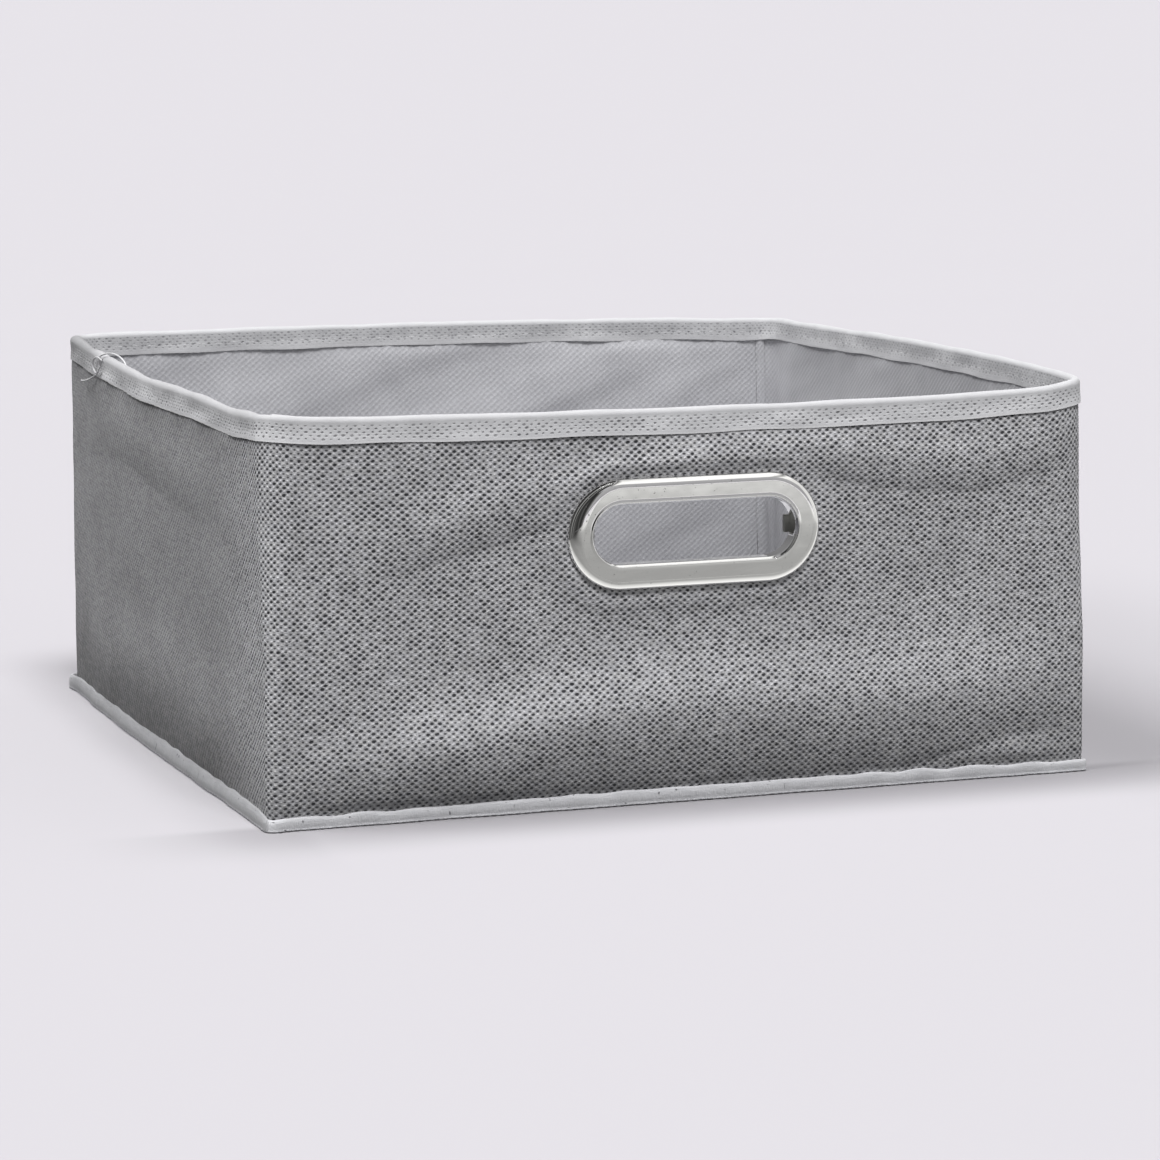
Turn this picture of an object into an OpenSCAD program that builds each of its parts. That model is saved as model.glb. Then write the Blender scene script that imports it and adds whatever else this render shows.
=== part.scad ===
// Folding fabric storage bin. Six stiffened wall panels stand on a cloth floor, a bound rim runs
// round the top, a loose base insert lies inside and a stadium-shaped metal ring lines the grip hole.
// Origin: on the floor, under the middle of the whole bin. The front wall faces -Y and +Z is up.

/* [Bin] */
// Width between the outer faces of the side walls
bin_w = 310; // [240:1:420]
// Depth between the outer faces of the front and back walls
bin_d = 310; // [240:1:420]
// Height from the ground to the top of the rim
bin_h = 143; // [110:1:300]

/* [Wall layers] */
// Thickness of the woven outer fabric
fabric_t = 0.6; // [0.3:0.1:1.2]
// Thickness of the stiffening board in each wall panel
board_t = 1.6; // [1:0.1:3]
// Thickness of the lining
lining_t = 0.4; // [0.2:0.1:1]
// Gap between two pieces that move apart when the bin folds
fold_gap = 0.3; // [0.2:0.05:1]
// Distance from the outer corner to the end of each board, which leaves cloth that can bend
board_inset = 8; // [5:0.5:12]

/* [Rim binding] */
// Height of the binding tape on each side of the rim
rim_h = 9; // [7:0.5:16]
// Thickness of the binding tape
rim_tape_t = 0.6; // [0.3:0.1:1]
// Height of the rounded top of the tape above the wall layers
rim_crown = 1.2; // [1:0.1:2]
// Height of the stitch row above the lower edge of the tape
rim_stitch_up = 2; // [1.5:0.1:4]

/* [Bottom binding] */
// Height of the binding round the bottom seam
base_tape_h = 6; // [5:0.5:10]
// Thickness of the bound seam
base_tape_t = 1.4; // [1.3:0.1:2.4]
// How far the bound seam stands out past the wall faces
base_tape_out = 1.2; // [0.9:0.1:1.4]
// Height of the stitch row above the ground
base_stitch_up = 1.2; // [0.8:0.1:3]

/* [Stitching] */
// Distance from one stitch to the next along the rim
rim_stitch_pitch = 7; // [4:0.5:12]
// Length of one stitch on the rim
rim_stitch_len = 5; // [2:0.5:3.5]
// Distance from one stitch to the next along the bottom seam
base_stitch_pitch = 6; // [4:0.5:12]
// Length of one stitch on the bottom seam
base_stitch_len = 4; // [2:0.5:3.5]
// Width of the thread
thread_w = 0.5; // [0.3:0.1:0.8]
// How far the thread stands out of the tape
thread_t = 0.2; // [0.1:0.05:0.4]

/* [Corner seam] */
// Width of the seam strip inside the corner where the wall cloth is closed into a ring
seam_w = 6; // [4:0.5:12]
// Thickness of the seam strip
seam_t = 0.3; // [0.2:0.05:0.4]

/* [Floor and base insert] */
// Thickness of the cloth floor
floor_t = 0.8; // [0.4:0.1:1.5]
// Thickness of the board inside the base insert
insert_board_t = 1.8; // [1:0.1:3]
// Thickness of the cloth that covers the insert
insert_cover_t = 0.4; // [0.2:0.1:0.8]
// Clearance between the insert and the furthest point of the handle hardware
insert_clear = 0.9; // [0.5:0.1:4]
// Clearance between the top of the insert and the bottom of the walls
wall_clear = 0.4; // [0.3:0.1:1]

/* [Handle] */
// Width of the handle ring
handle_w = 95; // [70:1:120]
// Height of the handle ring
handle_h = 40; // [34:1:50]
// Distance from the top of the rim down to the middle of the ring
handle_drop = 45.5; // [38:0.5:60]
// Distance from the middle of the wall to the middle of the ring, to the right
handle_offset = 1.5; // [-5:0.5:5]
// Width of the metal between the outer edge and the grip hole
handle_band = 8.75; // [7:0.25:10]
// How far the ring stands out of the front wall
handle_proud = 3.4; // [2.8:0.1:5]
// Height of the straight outer edge below the bevel
handle_edge = 1.2; // [0.6:0.1:2]
// Width of the bevel round the outer edge
handle_bevel = 2.1; // [1:0.1:3]
// Width of the rolled lip round the grip hole
handle_lip = 1; // [0.6:0.1:1.5]
// Thickness of the collar that passes through the wall
collar_t = 0.8; // [0.6:0.1:1.5]
// Clearance between the collar and the slot cut in the wall
slot_clear = 0.2; // [0.1:0.05:0.5]

/* [Handle back ring] */
// Width of the flat ring inside the bin
back_ring_w = 6.5; // [4:0.5:8]
// Thickness of the flat ring
back_ring_t = 1.2; // [0.8:0.1:2]
// Clearance between the flat ring and the collar
back_ring_clear = 0.05; // [0.02:0.01:0.1]
// Height of each retaining lug
lug_h = 7; // [4:0.5:10]
// Thickness of each lug
lug_t = 1.5; // [1:0.1:2]
// How far each lug reaches over the end of the collar into the grip hole
lug_reach = 1.8; // [0.5:0.1:2.5]
// How far each lug runs outward over the flat ring
lug_foot = 1.2; // [0.8:0.1:2]

/* [Hidden] */
$fn = 64;
eps = 1;
half_w = bin_w / 2;
half_d = bin_d / 2;
wall_t = fabric_t + board_t + lining_t;
// How far tape and thread stand out of a wall face, which sets the fold lines off the faces
proud = rim_tape_t + thread_t;
layer_top = bin_h - rim_crown;
rim_r = wall_t / 2 + rim_tape_t;
insert_t = insert_board_t + 2 * insert_cover_t;
wall_z = floor_t + insert_t + wall_clear;
fabric_z = base_tape_h + fold_gap;
// Each side wall is two panels that meet at the middle crease
panel_start = wall_t + fold_gap;
panel_len = half_d - panel_start - fold_gap / 2;
// Inner flap of a long rim stops where the side panels swing
flap_end = wall_t + proud + fold_gap;
insert_gap = back_ring_t + lug_t + insert_clear;
insert_w = bin_w - 2 * (wall_t + insert_gap);
insert_d = bin_d - 2 * (wall_t + insert_gap);
handle_z = bin_h - handle_drop;
handle_run = handle_w - handle_h;
hole_r = handle_h / 2 - handle_band;
collar_r = hole_r + collar_t;
slot_r = collar_r + slot_clear;
base_half_w = half_w + base_tape_out;
base_half_d = half_d + base_tape_out;
// Puts the middle of the whole bin, handle included, over the origin
shift_y = (handle_proud - base_tape_out - thread_t) / 2;

fabric_grey = [0.58, 0.58, 0.60];
tape_grey = [0.74, 0.74, 0.75];
lining_grey = [0.66, 0.66, 0.68];
board_brown = [0.62, 0.58, 0.52];
thread_grey = [0.80, 0.80, 0.81];
chrome = [0.82, 0.82, 0.80];

// Every piece is drawn about the middle of the wall box and then moved over the origin
module placed() {
  translate([0, shift_y, 0]) children();
}

// A stadium outline: a straight run with a half circle on each end
module stadium(run, r) {
  square([run, 2 * r], center = true);
  for (side = [-1, 1]) translate([side * run / 2, 0]) circle(r);
}

// The slot in the front wall that the handle's collar passes through
module handle_slot() {
  translate([handle_offset, eps - half_d + wall_t, handle_z]) rotate([90, 0, 0])
    linear_extrude(wall_t + 2 * eps) stadium(handle_run, slot_r);
}

// ---- long walls, drawn as the front wall ----

// Woven fabric over the outer face and round both vertical edges
module long_fabric() {
  difference() {
    translate([-half_w, -half_d, fabric_z]) cube([bin_w, wall_t, layer_top - fabric_z]);
    translate([fabric_t - half_w, fabric_t - half_d, fabric_z - eps])
      cube([bin_w - 2 * fabric_t, wall_t, layer_top - fabric_z + 2 * eps]);
  }
}

module long_layer(depth, thickness, end) {
  translate([end - half_w, depth - half_d, wall_z])
    cube([bin_w - 2 * end, thickness, layer_top - wall_z]);
}

module long_board() {
  long_layer(fabric_t, board_t, board_inset);
}

module long_lining() {
  long_layer(fabric_t + board_t, lining_t, fabric_t);
}

// ---- rim binding ----

// Outline of the bound rim across the wall: x runs inward from the wall's outer face, y up
module rim_outline() {
  translate([-rim_tape_t, -rim_h]) square([2 * rim_r, rim_h - rim_r]);
  translate([wall_t / 2, -rim_r]) circle(rim_r);
}

module rim_bar(length) {
  rotate([90, 0, 90]) linear_extrude(length) rim_outline();
}

// Tape over the top edge and both ends, cut back inside where the side panels swing
module long_rim_binding() {
  difference() {
    translate([-half_w - rim_tape_t, -half_d, bin_h]) rim_bar(bin_w + 2 * rim_tape_t);
    translate([-half_w, -half_d, bin_h - rim_h - eps]) cube([bin_w, wall_t, rim_h + eps - rim_crown]);
    for (side = [0, 1]) mirror([side, 0, 0])
      translate([half_w - flap_end, wall_t - half_d, bin_h - rim_h - eps])
        cube([flap_end + 2 * rim_tape_t, 2 * rim_tape_t, rim_h + 2 * eps]);
  }
}

// A row of separate stitches along X, centred on the origin, standing out towards -Y
module stitch_row(length, pitch, stitch) {
  count = floor(length / pitch);
  for (i = [0 : count - 1])
    translate([(i - (count - 1) / 2) * pitch - stitch / 2, -thread_t, -thread_w / 2])
      cube([stitch, thread_t, thread_w]);
}

// Stitches outside and inside a rim that runs along X with its outer face at y = 0
module rim_stitches(outer_len, inner_len) {
  translate([0, -rim_tape_t, 0]) stitch_row(outer_len, rim_stitch_pitch, rim_stitch_len);
  translate([0, wall_t + rim_tape_t + thread_t, 0])
    stitch_row(inner_len, rim_stitch_pitch, rim_stitch_len);
}

module long_rim_stitching() {
  translate([0, -half_d, bin_h - rim_h + rim_stitch_up])
    rim_stitches(bin_w, bin_w - 2 * flap_end);
}

// ---- side panels, drawn as the front half of the left wall ----

module panel_layer(depth, thickness, start, bottom) {
  translate([depth - half_w, start - half_d, bottom])
    cube([thickness, half_d - start - fold_gap / 2, layer_top - bottom]);
}

module panel_fabric() {
  panel_layer(0, fabric_t, panel_start, fabric_z);
}

module panel_board() {
  panel_layer(fabric_t, board_t, board_inset, wall_z);
}

module panel_lining() {
  panel_layer(fabric_t + board_t, lining_t, panel_start, wall_z);
}

// Turns a piece drawn along X with its outer face at y = 0 into one along the left wall
module along_panel() {
  translate([-half_w, panel_start - half_d, 0]) mirror([1, 0, 0]) rotate([0, 0, 90]) children();
}

// The inner flap starts clear of the swing of the long wall's flap
module panel_rim_binding() {
  flap_start = flap_end - panel_start;
  along_panel() difference() {
    translate([0, 0, bin_h]) rim_bar(panel_len);
    translate([-eps, 0, bin_h - rim_h - eps])
      cube([panel_len + 2 * eps, wall_t, rim_h + eps - rim_crown]);
    translate([-eps, wall_t, bin_h - rim_h - eps])
      cube([flap_start + eps, 2 * rim_tape_t, rim_h + 2 * eps]);
  }
}

module panel_rim_stitching() {
  flap_start = flap_end - panel_start;
  along_panel() translate([(panel_len + flap_start) / 2, 0, bin_h - rim_h + rim_stitch_up])
    rim_stitches(panel_len - 2 * flap_start, panel_len - 2 * flap_start);
}

// ---- where each wall piece stands ----

module at_back() {
  placed() mirror([0, 1, 0]) children();
}

module at_right() {
  placed() mirror([1, 0, 0]) children();
}

module at_right_back() {
  placed() rotate([0, 0, 180]) children();
}

// ---- front wall ----

module front_outer_fabric() {
  color(fabric_grey) placed() difference() {
    long_fabric();
    handle_slot();
  }
}

module front_board() {
  color(board_brown) placed() difference() {
    long_board();
    handle_slot();
  }
}

module front_lining() {
  color(lining_grey) placed() difference() {
    long_lining();
    handle_slot();
  }
}

module front_rim_binding() {
  color(tape_grey) placed() long_rim_binding();
}

module front_rim_stitching() {
  color(thread_grey) placed() long_rim_stitching();
}

// ---- left wall ----

module left_front_outer_fabric() {
  color(fabric_grey) placed() panel_fabric();
}

module left_front_board() {
  color(board_brown) placed() panel_board();
}

module left_front_lining() {
  color(lining_grey) placed() panel_lining();
}

module left_front_rim_binding() {
  color(tape_grey) placed() panel_rim_binding();
}

module left_front_rim_stitching() {
  color(thread_grey) placed() panel_rim_stitching();
}

module left_back_outer_fabric() {
  color(fabric_grey) at_back() panel_fabric();
}

module left_back_board() {
  color(board_brown) at_back() panel_board();
}

module left_back_lining() {
  color(lining_grey) at_back() panel_lining();
}

module left_back_rim_binding() {
  color(tape_grey) at_back() panel_rim_binding();
}

module left_back_rim_stitching() {
  color(thread_grey) at_back() panel_rim_stitching();
}

// ---- right wall ----

module right_front_outer_fabric() {
  color(fabric_grey) at_right() panel_fabric();
}

module right_front_board() {
  color(board_brown) at_right() panel_board();
}

module right_front_lining() {
  color(lining_grey) at_right() panel_lining();
}

module right_front_rim_binding() {
  color(tape_grey) at_right() panel_rim_binding();
}

module right_front_rim_stitching() {
  color(thread_grey) at_right() panel_rim_stitching();
}

module right_back_outer_fabric() {
  color(fabric_grey) at_right_back() panel_fabric();
}

module right_back_board() {
  color(board_brown) at_right_back() panel_board();
}

module right_back_lining() {
  color(lining_grey) at_right_back() panel_lining();
}

module right_back_rim_binding() {
  color(tape_grey) at_right_back() panel_rim_binding();
}

module right_back_rim_stitching() {
  color(thread_grey) at_right_back() panel_rim_stitching();
}

// ---- back wall ----

module back_outer_fabric() {
  color(fabric_grey) at_back() long_fabric();
}

module back_board() {
  color(board_brown) at_back() long_board();
}

module back_lining() {
  color(lining_grey) at_back() long_lining();
}

module back_rim_binding() {
  color(tape_grey) at_back() long_rim_binding();
}

module back_rim_stitching() {
  color(thread_grey) at_back() long_rim_stitching();
}

// Lining strip over the closing seam, inside the back wall beside the right corner
module corner_seam_strip() {
  color(lining_grey) placed()
    translate([half_w - flap_end - seam_w, half_d - wall_t - seam_t, wall_z])
      cube([seam_w, seam_t, bin_h - rim_h - fold_gap - wall_z]);
}

// ---- floor and bottom seam ----

module floor_fabric() {
  inner_w = 2 * (base_half_w - base_tape_t);
  inner_d = 2 * (base_half_d - base_tape_t);
  color(lining_grey) placed() translate([-inner_w / 2, -inner_d / 2, 0]) cube([inner_w, inner_d, floor_t]);
}

module long_base_binding() {
  translate([-base_half_w, -base_half_d, 0]) cube([2 * base_half_w, base_tape_t, base_tape_h]);
}

module side_base_binding() {
  length = 2 * (base_half_d - base_tape_t);
  translate([-base_half_w, -length / 2, 0]) cube([base_tape_t, length, base_tape_h]);
}

module front_base_binding() {
  color(tape_grey) placed() long_base_binding();
}

module back_base_binding() {
  color(tape_grey) at_back() long_base_binding();
}

module left_base_binding() {
  color(tape_grey) placed() side_base_binding();
}

module right_base_binding() {
  color(tape_grey) at_right() side_base_binding();
}

module base_binding_stitching() {
  color(thread_grey) placed() {
    for (turn = [0, 180]) rotate([0, 0, turn]) translate([0, -base_half_d, base_stitch_up])
      stitch_row(2 * base_half_w, base_stitch_pitch, base_stitch_len);
    for (turn = [90, 270]) rotate([0, 0, turn]) translate([0, -base_half_w, base_stitch_up])
      stitch_row(2 * base_half_d, base_stitch_pitch, base_stitch_len);
  }
}

// ---- base insert ----

module insert_slab(inset, bottom, thickness) {
  translate([inset - insert_w / 2, inset - insert_d / 2, floor_t + bottom])
    cube([insert_w - 2 * inset, insert_d - 2 * inset, thickness]);
}

module insert_board() {
  color(board_brown) placed() insert_slab(insert_cover_t, insert_cover_t, insert_board_t);
}

// The upper cloth is turned down over the edges of the board
module insert_top_cover() {
  color(lining_grey) placed() difference() {
    insert_slab(0, 0, insert_t);
    insert_slab(insert_cover_t, -eps, insert_cover_t + insert_board_t + eps);
  }
}

module insert_bottom_cover() {
  color(lining_grey) placed() insert_slab(insert_cover_t, 0, insert_cover_t);
}

// ---- handle ----

// Section of the front ring: x is the distance from the ring's centre line, y out of the wall
module ring_section() {
  edge_r = handle_h / 2;
  collar_end = wall_t + back_ring_t;
  polygon([
    [edge_r, 0],
    [edge_r, handle_edge],
    [edge_r - handle_bevel, handle_proud],
    [hole_r + handle_lip, handle_proud],
    [hole_r, handle_proud - handle_lip],
    [hole_r, -collar_end],
    [collar_r, -collar_end],
    [collar_r, 0]
  ]);
}

// Carries a section round the stadium: two straight runs and two half turns
module round_stadium(run) {
  for (side = [0, 1]) {
    mirror([0, side, 0]) translate([-run / 2, 0, 0]) rotate([90, 0, 90]) linear_extrude(run) children();
    mirror([side, 0, 0]) translate([run / 2, 0, 0]) rotate([0, 0, -90]) rotate_extrude(angle = 180) children();
  }
}

module on_front_wall() {
  placed() translate([handle_offset, -half_d, handle_z]) rotate([90, 0, 0]) children();
}

module handle_front_ring() {
  color(chrome) on_front_wall() round_stadium(handle_run) ring_section();
}

module handle_back_ring() {
  inner_r = collar_r + back_ring_clear;
  color(chrome) on_front_wall() {
    translate([0, 0, -wall_t - back_ring_t]) linear_extrude(back_ring_t) difference() {
      stadium(handle_run, inner_r + back_ring_w);
      stadium(handle_run, inner_r);
    }
    for (side = [0, 1]) mirror([side, 0, 0])
      translate([handle_run / 2 + hole_r - lug_reach, -lug_h / 2, -wall_t - back_ring_t - lug_t])
        cube([lug_reach + inner_r - hole_r + lug_foot, lug_h, lug_t]);
  }
}

front_outer_fabric();
front_board();
front_lining();
front_rim_binding();
front_rim_stitching();
left_front_outer_fabric();
left_front_board();
left_front_lining();
left_front_rim_binding();
left_front_rim_stitching();
left_back_outer_fabric();
left_back_board();
left_back_lining();
left_back_rim_binding();
left_back_rim_stitching();
right_front_outer_fabric();
right_front_board();
right_front_lining();
right_front_rim_binding();
right_front_rim_stitching();
right_back_outer_fabric();
right_back_board();
right_back_lining();
right_back_rim_binding();
right_back_rim_stitching();
back_outer_fabric();
back_board();
back_lining();
back_rim_binding();
back_rim_stitching();
corner_seam_strip();
floor_fabric();
front_base_binding();
back_base_binding();
left_base_binding();
right_base_binding();
base_binding_stitching();
insert_board();
insert_top_cover();
insert_bottom_cover();
handle_front_ring();
handle_back_ring();
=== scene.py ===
import math
import bpy
import numpy as np
from mathutils import Matrix, Vector


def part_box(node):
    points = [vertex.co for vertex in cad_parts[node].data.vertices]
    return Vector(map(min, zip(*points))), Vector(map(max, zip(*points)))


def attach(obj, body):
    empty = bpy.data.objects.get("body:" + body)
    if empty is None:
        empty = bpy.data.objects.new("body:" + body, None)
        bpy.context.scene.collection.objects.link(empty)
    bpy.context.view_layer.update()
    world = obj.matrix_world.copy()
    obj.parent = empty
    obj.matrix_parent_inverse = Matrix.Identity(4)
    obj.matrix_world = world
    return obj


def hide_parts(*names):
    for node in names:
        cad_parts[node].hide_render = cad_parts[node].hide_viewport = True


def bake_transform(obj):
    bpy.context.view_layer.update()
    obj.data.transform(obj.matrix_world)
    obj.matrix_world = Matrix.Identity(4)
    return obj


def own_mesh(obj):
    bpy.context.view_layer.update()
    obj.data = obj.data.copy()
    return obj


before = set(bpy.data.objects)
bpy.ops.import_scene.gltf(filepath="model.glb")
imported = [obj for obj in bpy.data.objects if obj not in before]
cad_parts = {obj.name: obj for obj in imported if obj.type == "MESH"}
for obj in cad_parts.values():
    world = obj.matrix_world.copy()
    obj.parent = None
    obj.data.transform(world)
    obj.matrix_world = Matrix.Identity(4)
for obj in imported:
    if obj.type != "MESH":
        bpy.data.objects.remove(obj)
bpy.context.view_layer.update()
mm = 0.001
rng = np.random.default_rng(7)

# ---- places of the walls, measured in millimetres round them from the front left corner ----


def boxOf(node):
    # lowest and highest corner of a frame node, in millimetres
    return [Vector(corner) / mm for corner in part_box(node)]


frontLow, frontHigh = boxOf("front_outer_fabric")
backHigh = boxOf("back_outer_fabric")[1]
wallCorners = np.array([(frontLow.x, frontLow.y), (frontHigh.x, frontLow.y),
                        (frontHigh.x, backHigh.y), (frontLow.x, backHigh.y)])
travel = np.array([(1, 0), (0, 1), (-1, 0), (0, -1)], float)
facing = np.array([(0, -1), (1, 0), (0, 1), (-1, 0)], float)
sideLength = np.array([frontHigh.x - frontLow.x, backHigh.y - frontLow.y] * 2)
sideStart = np.concatenate([[0], np.cumsum(sideLength)[:-1]])
girth = sideLength.sum()
frontEnd, rightEnd, backEnd = sideStart[1], sideStart[2], sideStart[3]
wallThick = boxOf("front_lining")[1].y - frontLow.y
wallTop = boxOf("front_rim_binding")[1].z
middleY = (frontLow.y + backHigh.y) / 2


# ---- camera and studio ----

camera = {
    "place": (-0.5371, -1.6033, 0.3150),
    "turn": 18.891,     # degrees right of straight ahead
    "tilt": 8.649,      # degrees down
    "roll": -0.424,
    "lens": 136.695,
}

studio = {
    "worldTop": 0.44,
    "worldSide": 0.28,
    "worldBelow": 0.10,
    "fillStrength": 2.9,      # from the front, high
    "fillFrom": (-0.03, -0.45, 0.893),
    "fillAngle": 20,
    "sideStrength": 2.05,     # from the left, high
    "sideFrom": (-0.50, 0.06, 0.865),
    "sideAngle": 26,
    "floorColour": (0.448, 0.435, 0.457),
    "floorSize": 60,
}


# panels that only the metal reflects: name, four corners in mm, rows of brightness from the first edge
# to the opposite one, each row running from the first corner to the second
cards = [
    ("card_floor", [(-900, -1700, 1), (1500, -1700, 1), (1500, -100, 1), (-900, -100, 1)], [
        [0.06, 0.06, 0.06, 0.10, 0.34, 0.76, 0.90, 0.94, 0.94, 0.94, 0.94, 0.94, 0.94],
        [0.06, 0.06, 0.06, 0.10, 0.34, 0.76, 0.90, 0.94, 0.94, 0.94, 0.94, 0.94, 0.94],
        [0.04, 0.04, 0.04, 0.08, 0.36, 0.80, 0.92, 0.96, 0.96, 0.96, 0.96, 0.96, 0.96],
        [0.04, 0.04, 0.04, 0.08, 0.36, 0.78, 0.92, 0.98, 0.98, 0.98, 0.98, 0.98, 0.98],
        [0.05, 0.05, 0.06, 0.10, 0.30, 0.48, 0.62, 0.68, 0.74, 0.80, 0.84, 0.84, 0.84],
        [0.10, 0.10, 0.10, 0.14, 0.26, 0.38, 0.42, 0.46, 0.56, 0.70, 0.84, 0.84, 0.84],
        [0.16, 0.16, 0.18, 0.24, 0.34, 0.42, 0.46, 0.50, 0.56, 0.80, 0.90, 0.90, 0.90],
        [0.20, 0.20, 0.22, 0.26, 0.34, 0.46, 0.48, 0.52, 0.60, 0.90, 1.00, 1.00, 1.00],
        [0.30, 0.34, 0.50, 1.10, 1.50, 1.55, 1.55, 1.55, 1.40, 1.10, 1.00, 1.00, 1.00],
    ]),
    ("card_left", [(-520, -1100, 0), (-520, 100, 0), (150, 100, 1000), (150, -1100, 1000)], [
        [0.10, 0.08, 0.10, 0.06, 0.14, 0.08, 0.20, 0.04, 0.10, 0.26, 0.06, 0.16, 0.04, 0.10, 0.26, 0.20, 0.20],
        [0.04, 0.02, 0.06, 0.01, 0.08, 0.02, 0.30, 0.01, 0.03, 0.42, 0.02, 0.06, 0.01, 0.02, 0.24, 0.02, 0.10],
        [0.04, 0.01, 0.06, 0.01, 0.03, 0.01, 0.36, 0.01, 0.02, 0.50, 0.02, 0.02, 0.01, 0.01, 0.30, 0.02, 0.06],
        [0.04, 0.01, 0.08, 0.01, 0.02, 0.01, 0.40, 0.01, 0.01, 0.55, 0.02, 0.01, 0.01, 0.01, 0.30, 0.02, 0.06],
    ]),
    ("card_ahead", [(-1200, -1750, 0), (70, -1750, 0), (70, -1750, 1000), (-1200, -1750, 1000)], [
        [0.04, 0.03, 0.06, 0.02, 0.05, 0.03, 0.10, 0.03, 0.05, 0.30],
        [0.02, 0.03, 0.05, 0.02, 0.04, 0.02, 0.12, 0.02, 0.03, 0.20],
    ]),
    ("card_over", [(180, -1500, 1000), (2400, -1500, 1000), (2400, 900, 1000), (180, 900, 1000)],
     [[0.02, 1.20, 1.20, 1.20, 0.30, 1.10, 1.10] + [0.90] * 9] * 2),
    ("card_right", [(950, -1000, 0), (950, 900, 0), (1300, 900, 1000), (1300, -1000, 1000)], [
        [0.80, 0.85, 0.90, 0.70, 1.00, 0.95, 1.00, 0.10, 1.00, 1.10, 0.30, 1.10, 1.10],
        [0.80, 0.85, 0.90, 0.80, 1.00, 0.95, 1.00, 0.04, 1.00, 1.10, 0.10, 1.10, 1.10],
    ]),
]


def addCamera():
    data = bpy.data.cameras.new("camera")
    made = bpy.data.objects.new("camera", data)
    bpy.context.scene.collection.objects.link(made)
    data.lens = camera["lens"]
    data.sensor_width = 36
    data.clip_end = 200
    made.matrix_world = (Matrix.Translation(camera["place"])
                         @ Matrix.Rotation(math.radians(-camera["turn"]), 4, "Z")
                         @ Matrix.Rotation(math.radians(90 - camera["tilt"]), 4, "X")
                         @ Matrix.Rotation(math.radians(camera["roll"]), 4, "Z"))
    bpy.context.scene.camera = made


addCamera()
bpy.context.scene.view_settings.view_transform = "Standard"
bpy.context.scene.view_settings.look = "None"


# ---- shader helper: arithmetic on sockets adds the nodes ----

class Wire:
    def __init__(self, tree, socket):
        self.tree = tree
        self.socket = socket

    def node(self, kind, settings=None, values=None, out=0):
        made = self.tree.nodes.new(kind)
        for key, value in (settings or {}).items():
            setattr(made, key, value)
        for key, value in (values or {}).items():
            if isinstance(value, Wire):
                self.tree.links.new(value.socket, made.inputs[key])
            else:
                made.inputs[key].default_value = value
        return Wire(self.tree, made.outputs[out])

    def math(self, operation, *values):
        return self.node("ShaderNodeMath", {"operation": operation}, dict(enumerate(values)))

    def __add__(self, other):
        return self.math("ADD", self, other)

    def __sub__(self, other):
        return self.math("SUBTRACT", self, other)

    def __mul__(self, other):
        return self.math("MULTIPLY", self, other)

    def __truediv__(self, other):
        return self.math("DIVIDE", self, other)

    def __radd__(self, other):
        return self.math("ADD", other, self)

    def __rsub__(self, other):
        return self.math("SUBTRACT", other, self)

    def __rmul__(self, other):
        return self.math("MULTIPLY", other, self)

    def root(self):
        return self.math("SQRT", self)

    def fract(self):
        return self.math("FRACT", self)

    def floor(self):
        return self.math("FLOOR", self)

    def parts(self):
        split = self.node("ShaderNodeSeparateXYZ", {}, {0: self}).socket.node
        return [Wire(self.tree, socket) for socket in split.outputs]

    def joined(self, y, z=0.0):
        # a vector with this as its x
        return self.node("ShaderNodeCombineXYZ", {}, {0: self, 1: y, 2: z})

    def scaled(self, by):
        return self.node("ShaderNodeVectorMath", {"operation": "MULTIPLY"}, {0: self, 1: by})

    def step(self, low, high):
        # 0 below low and 1 above high, smooth between
        return self.node("ShaderNodeMapRange", {"interpolation_type": "SMOOTHSTEP"},
                         {0: self, 1: low, 2: high, 3: 0.0, 4: 1.0})

    def noise(self, scale, detail=3.0, rough=0.55, out=0):
        return self.node("ShaderNodeTexNoise", {}, {"Vector": self, "Scale": scale,
                                                   "Detail": detail, "Roughness": rough}, out)

    def mix(self, a, b):
        # colour a where this is 0, b where it is 1
        return self.node("ShaderNodeMix", {"data_type": "RGBA"}, {0: self, 6: a, 7: b}, 2)

    def times(self, colour, share=1.0):
        # this colour multiplied by another, fully where share is 1
        return self.node("ShaderNodeMix", {"data_type": "RGBA", "blend_type": "MULTIPLY"},
                         {0: share, 6: self, 7: colour}, 2)

    def bump(self, distance, strength=1.0):
        return self.node("ShaderNodeBump", {}, {"Height": self, "Distance": distance, "Strength": strength})


def newMaterial(name):
    made = bpy.data.materials.new(name)
    made.use_nodes = True
    tree = made.node_tree
    shader = tree.nodes["Principled BSDF"]
    start = Wire(tree, tree.nodes.new("ShaderNodeTexCoord").outputs["UV"])
    return made, start, shader


def place(start):
    # object coordinates in millimetres
    return start.node("ShaderNodeTexCoord", {}, {}, 3).scaled((1000, 1000, 1000))


def setShader(shader, start, linked=None, **values):
    for key, value in values.items():
        shader.inputs[key.replace("_", " ")].default_value = value
    for key, value in (linked or {}).items():
        start.tree.links.new(value.socket, shader.inputs[key])


def grey(value):
    return (value, value, value, 1)


# ---- materials ----

weaveLook = {
    "holePitch": 2.96,   # mm from hole to hole along a row
    "rowPitch": 1.21,    # mm from row to row, holes staggered by half a pitch
    "holeLong": 0.64,
    "holeHigh": 0.43,
    "lean": 0.13,        # radians, holes climb to the right
    "thread": (0.375, 0.375, 0.392, 1),
    "threadLight": (0.67, 0.67, 0.69, 1),
    "hole": (0.032, 0.032, 0.037, 1),
}


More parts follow.
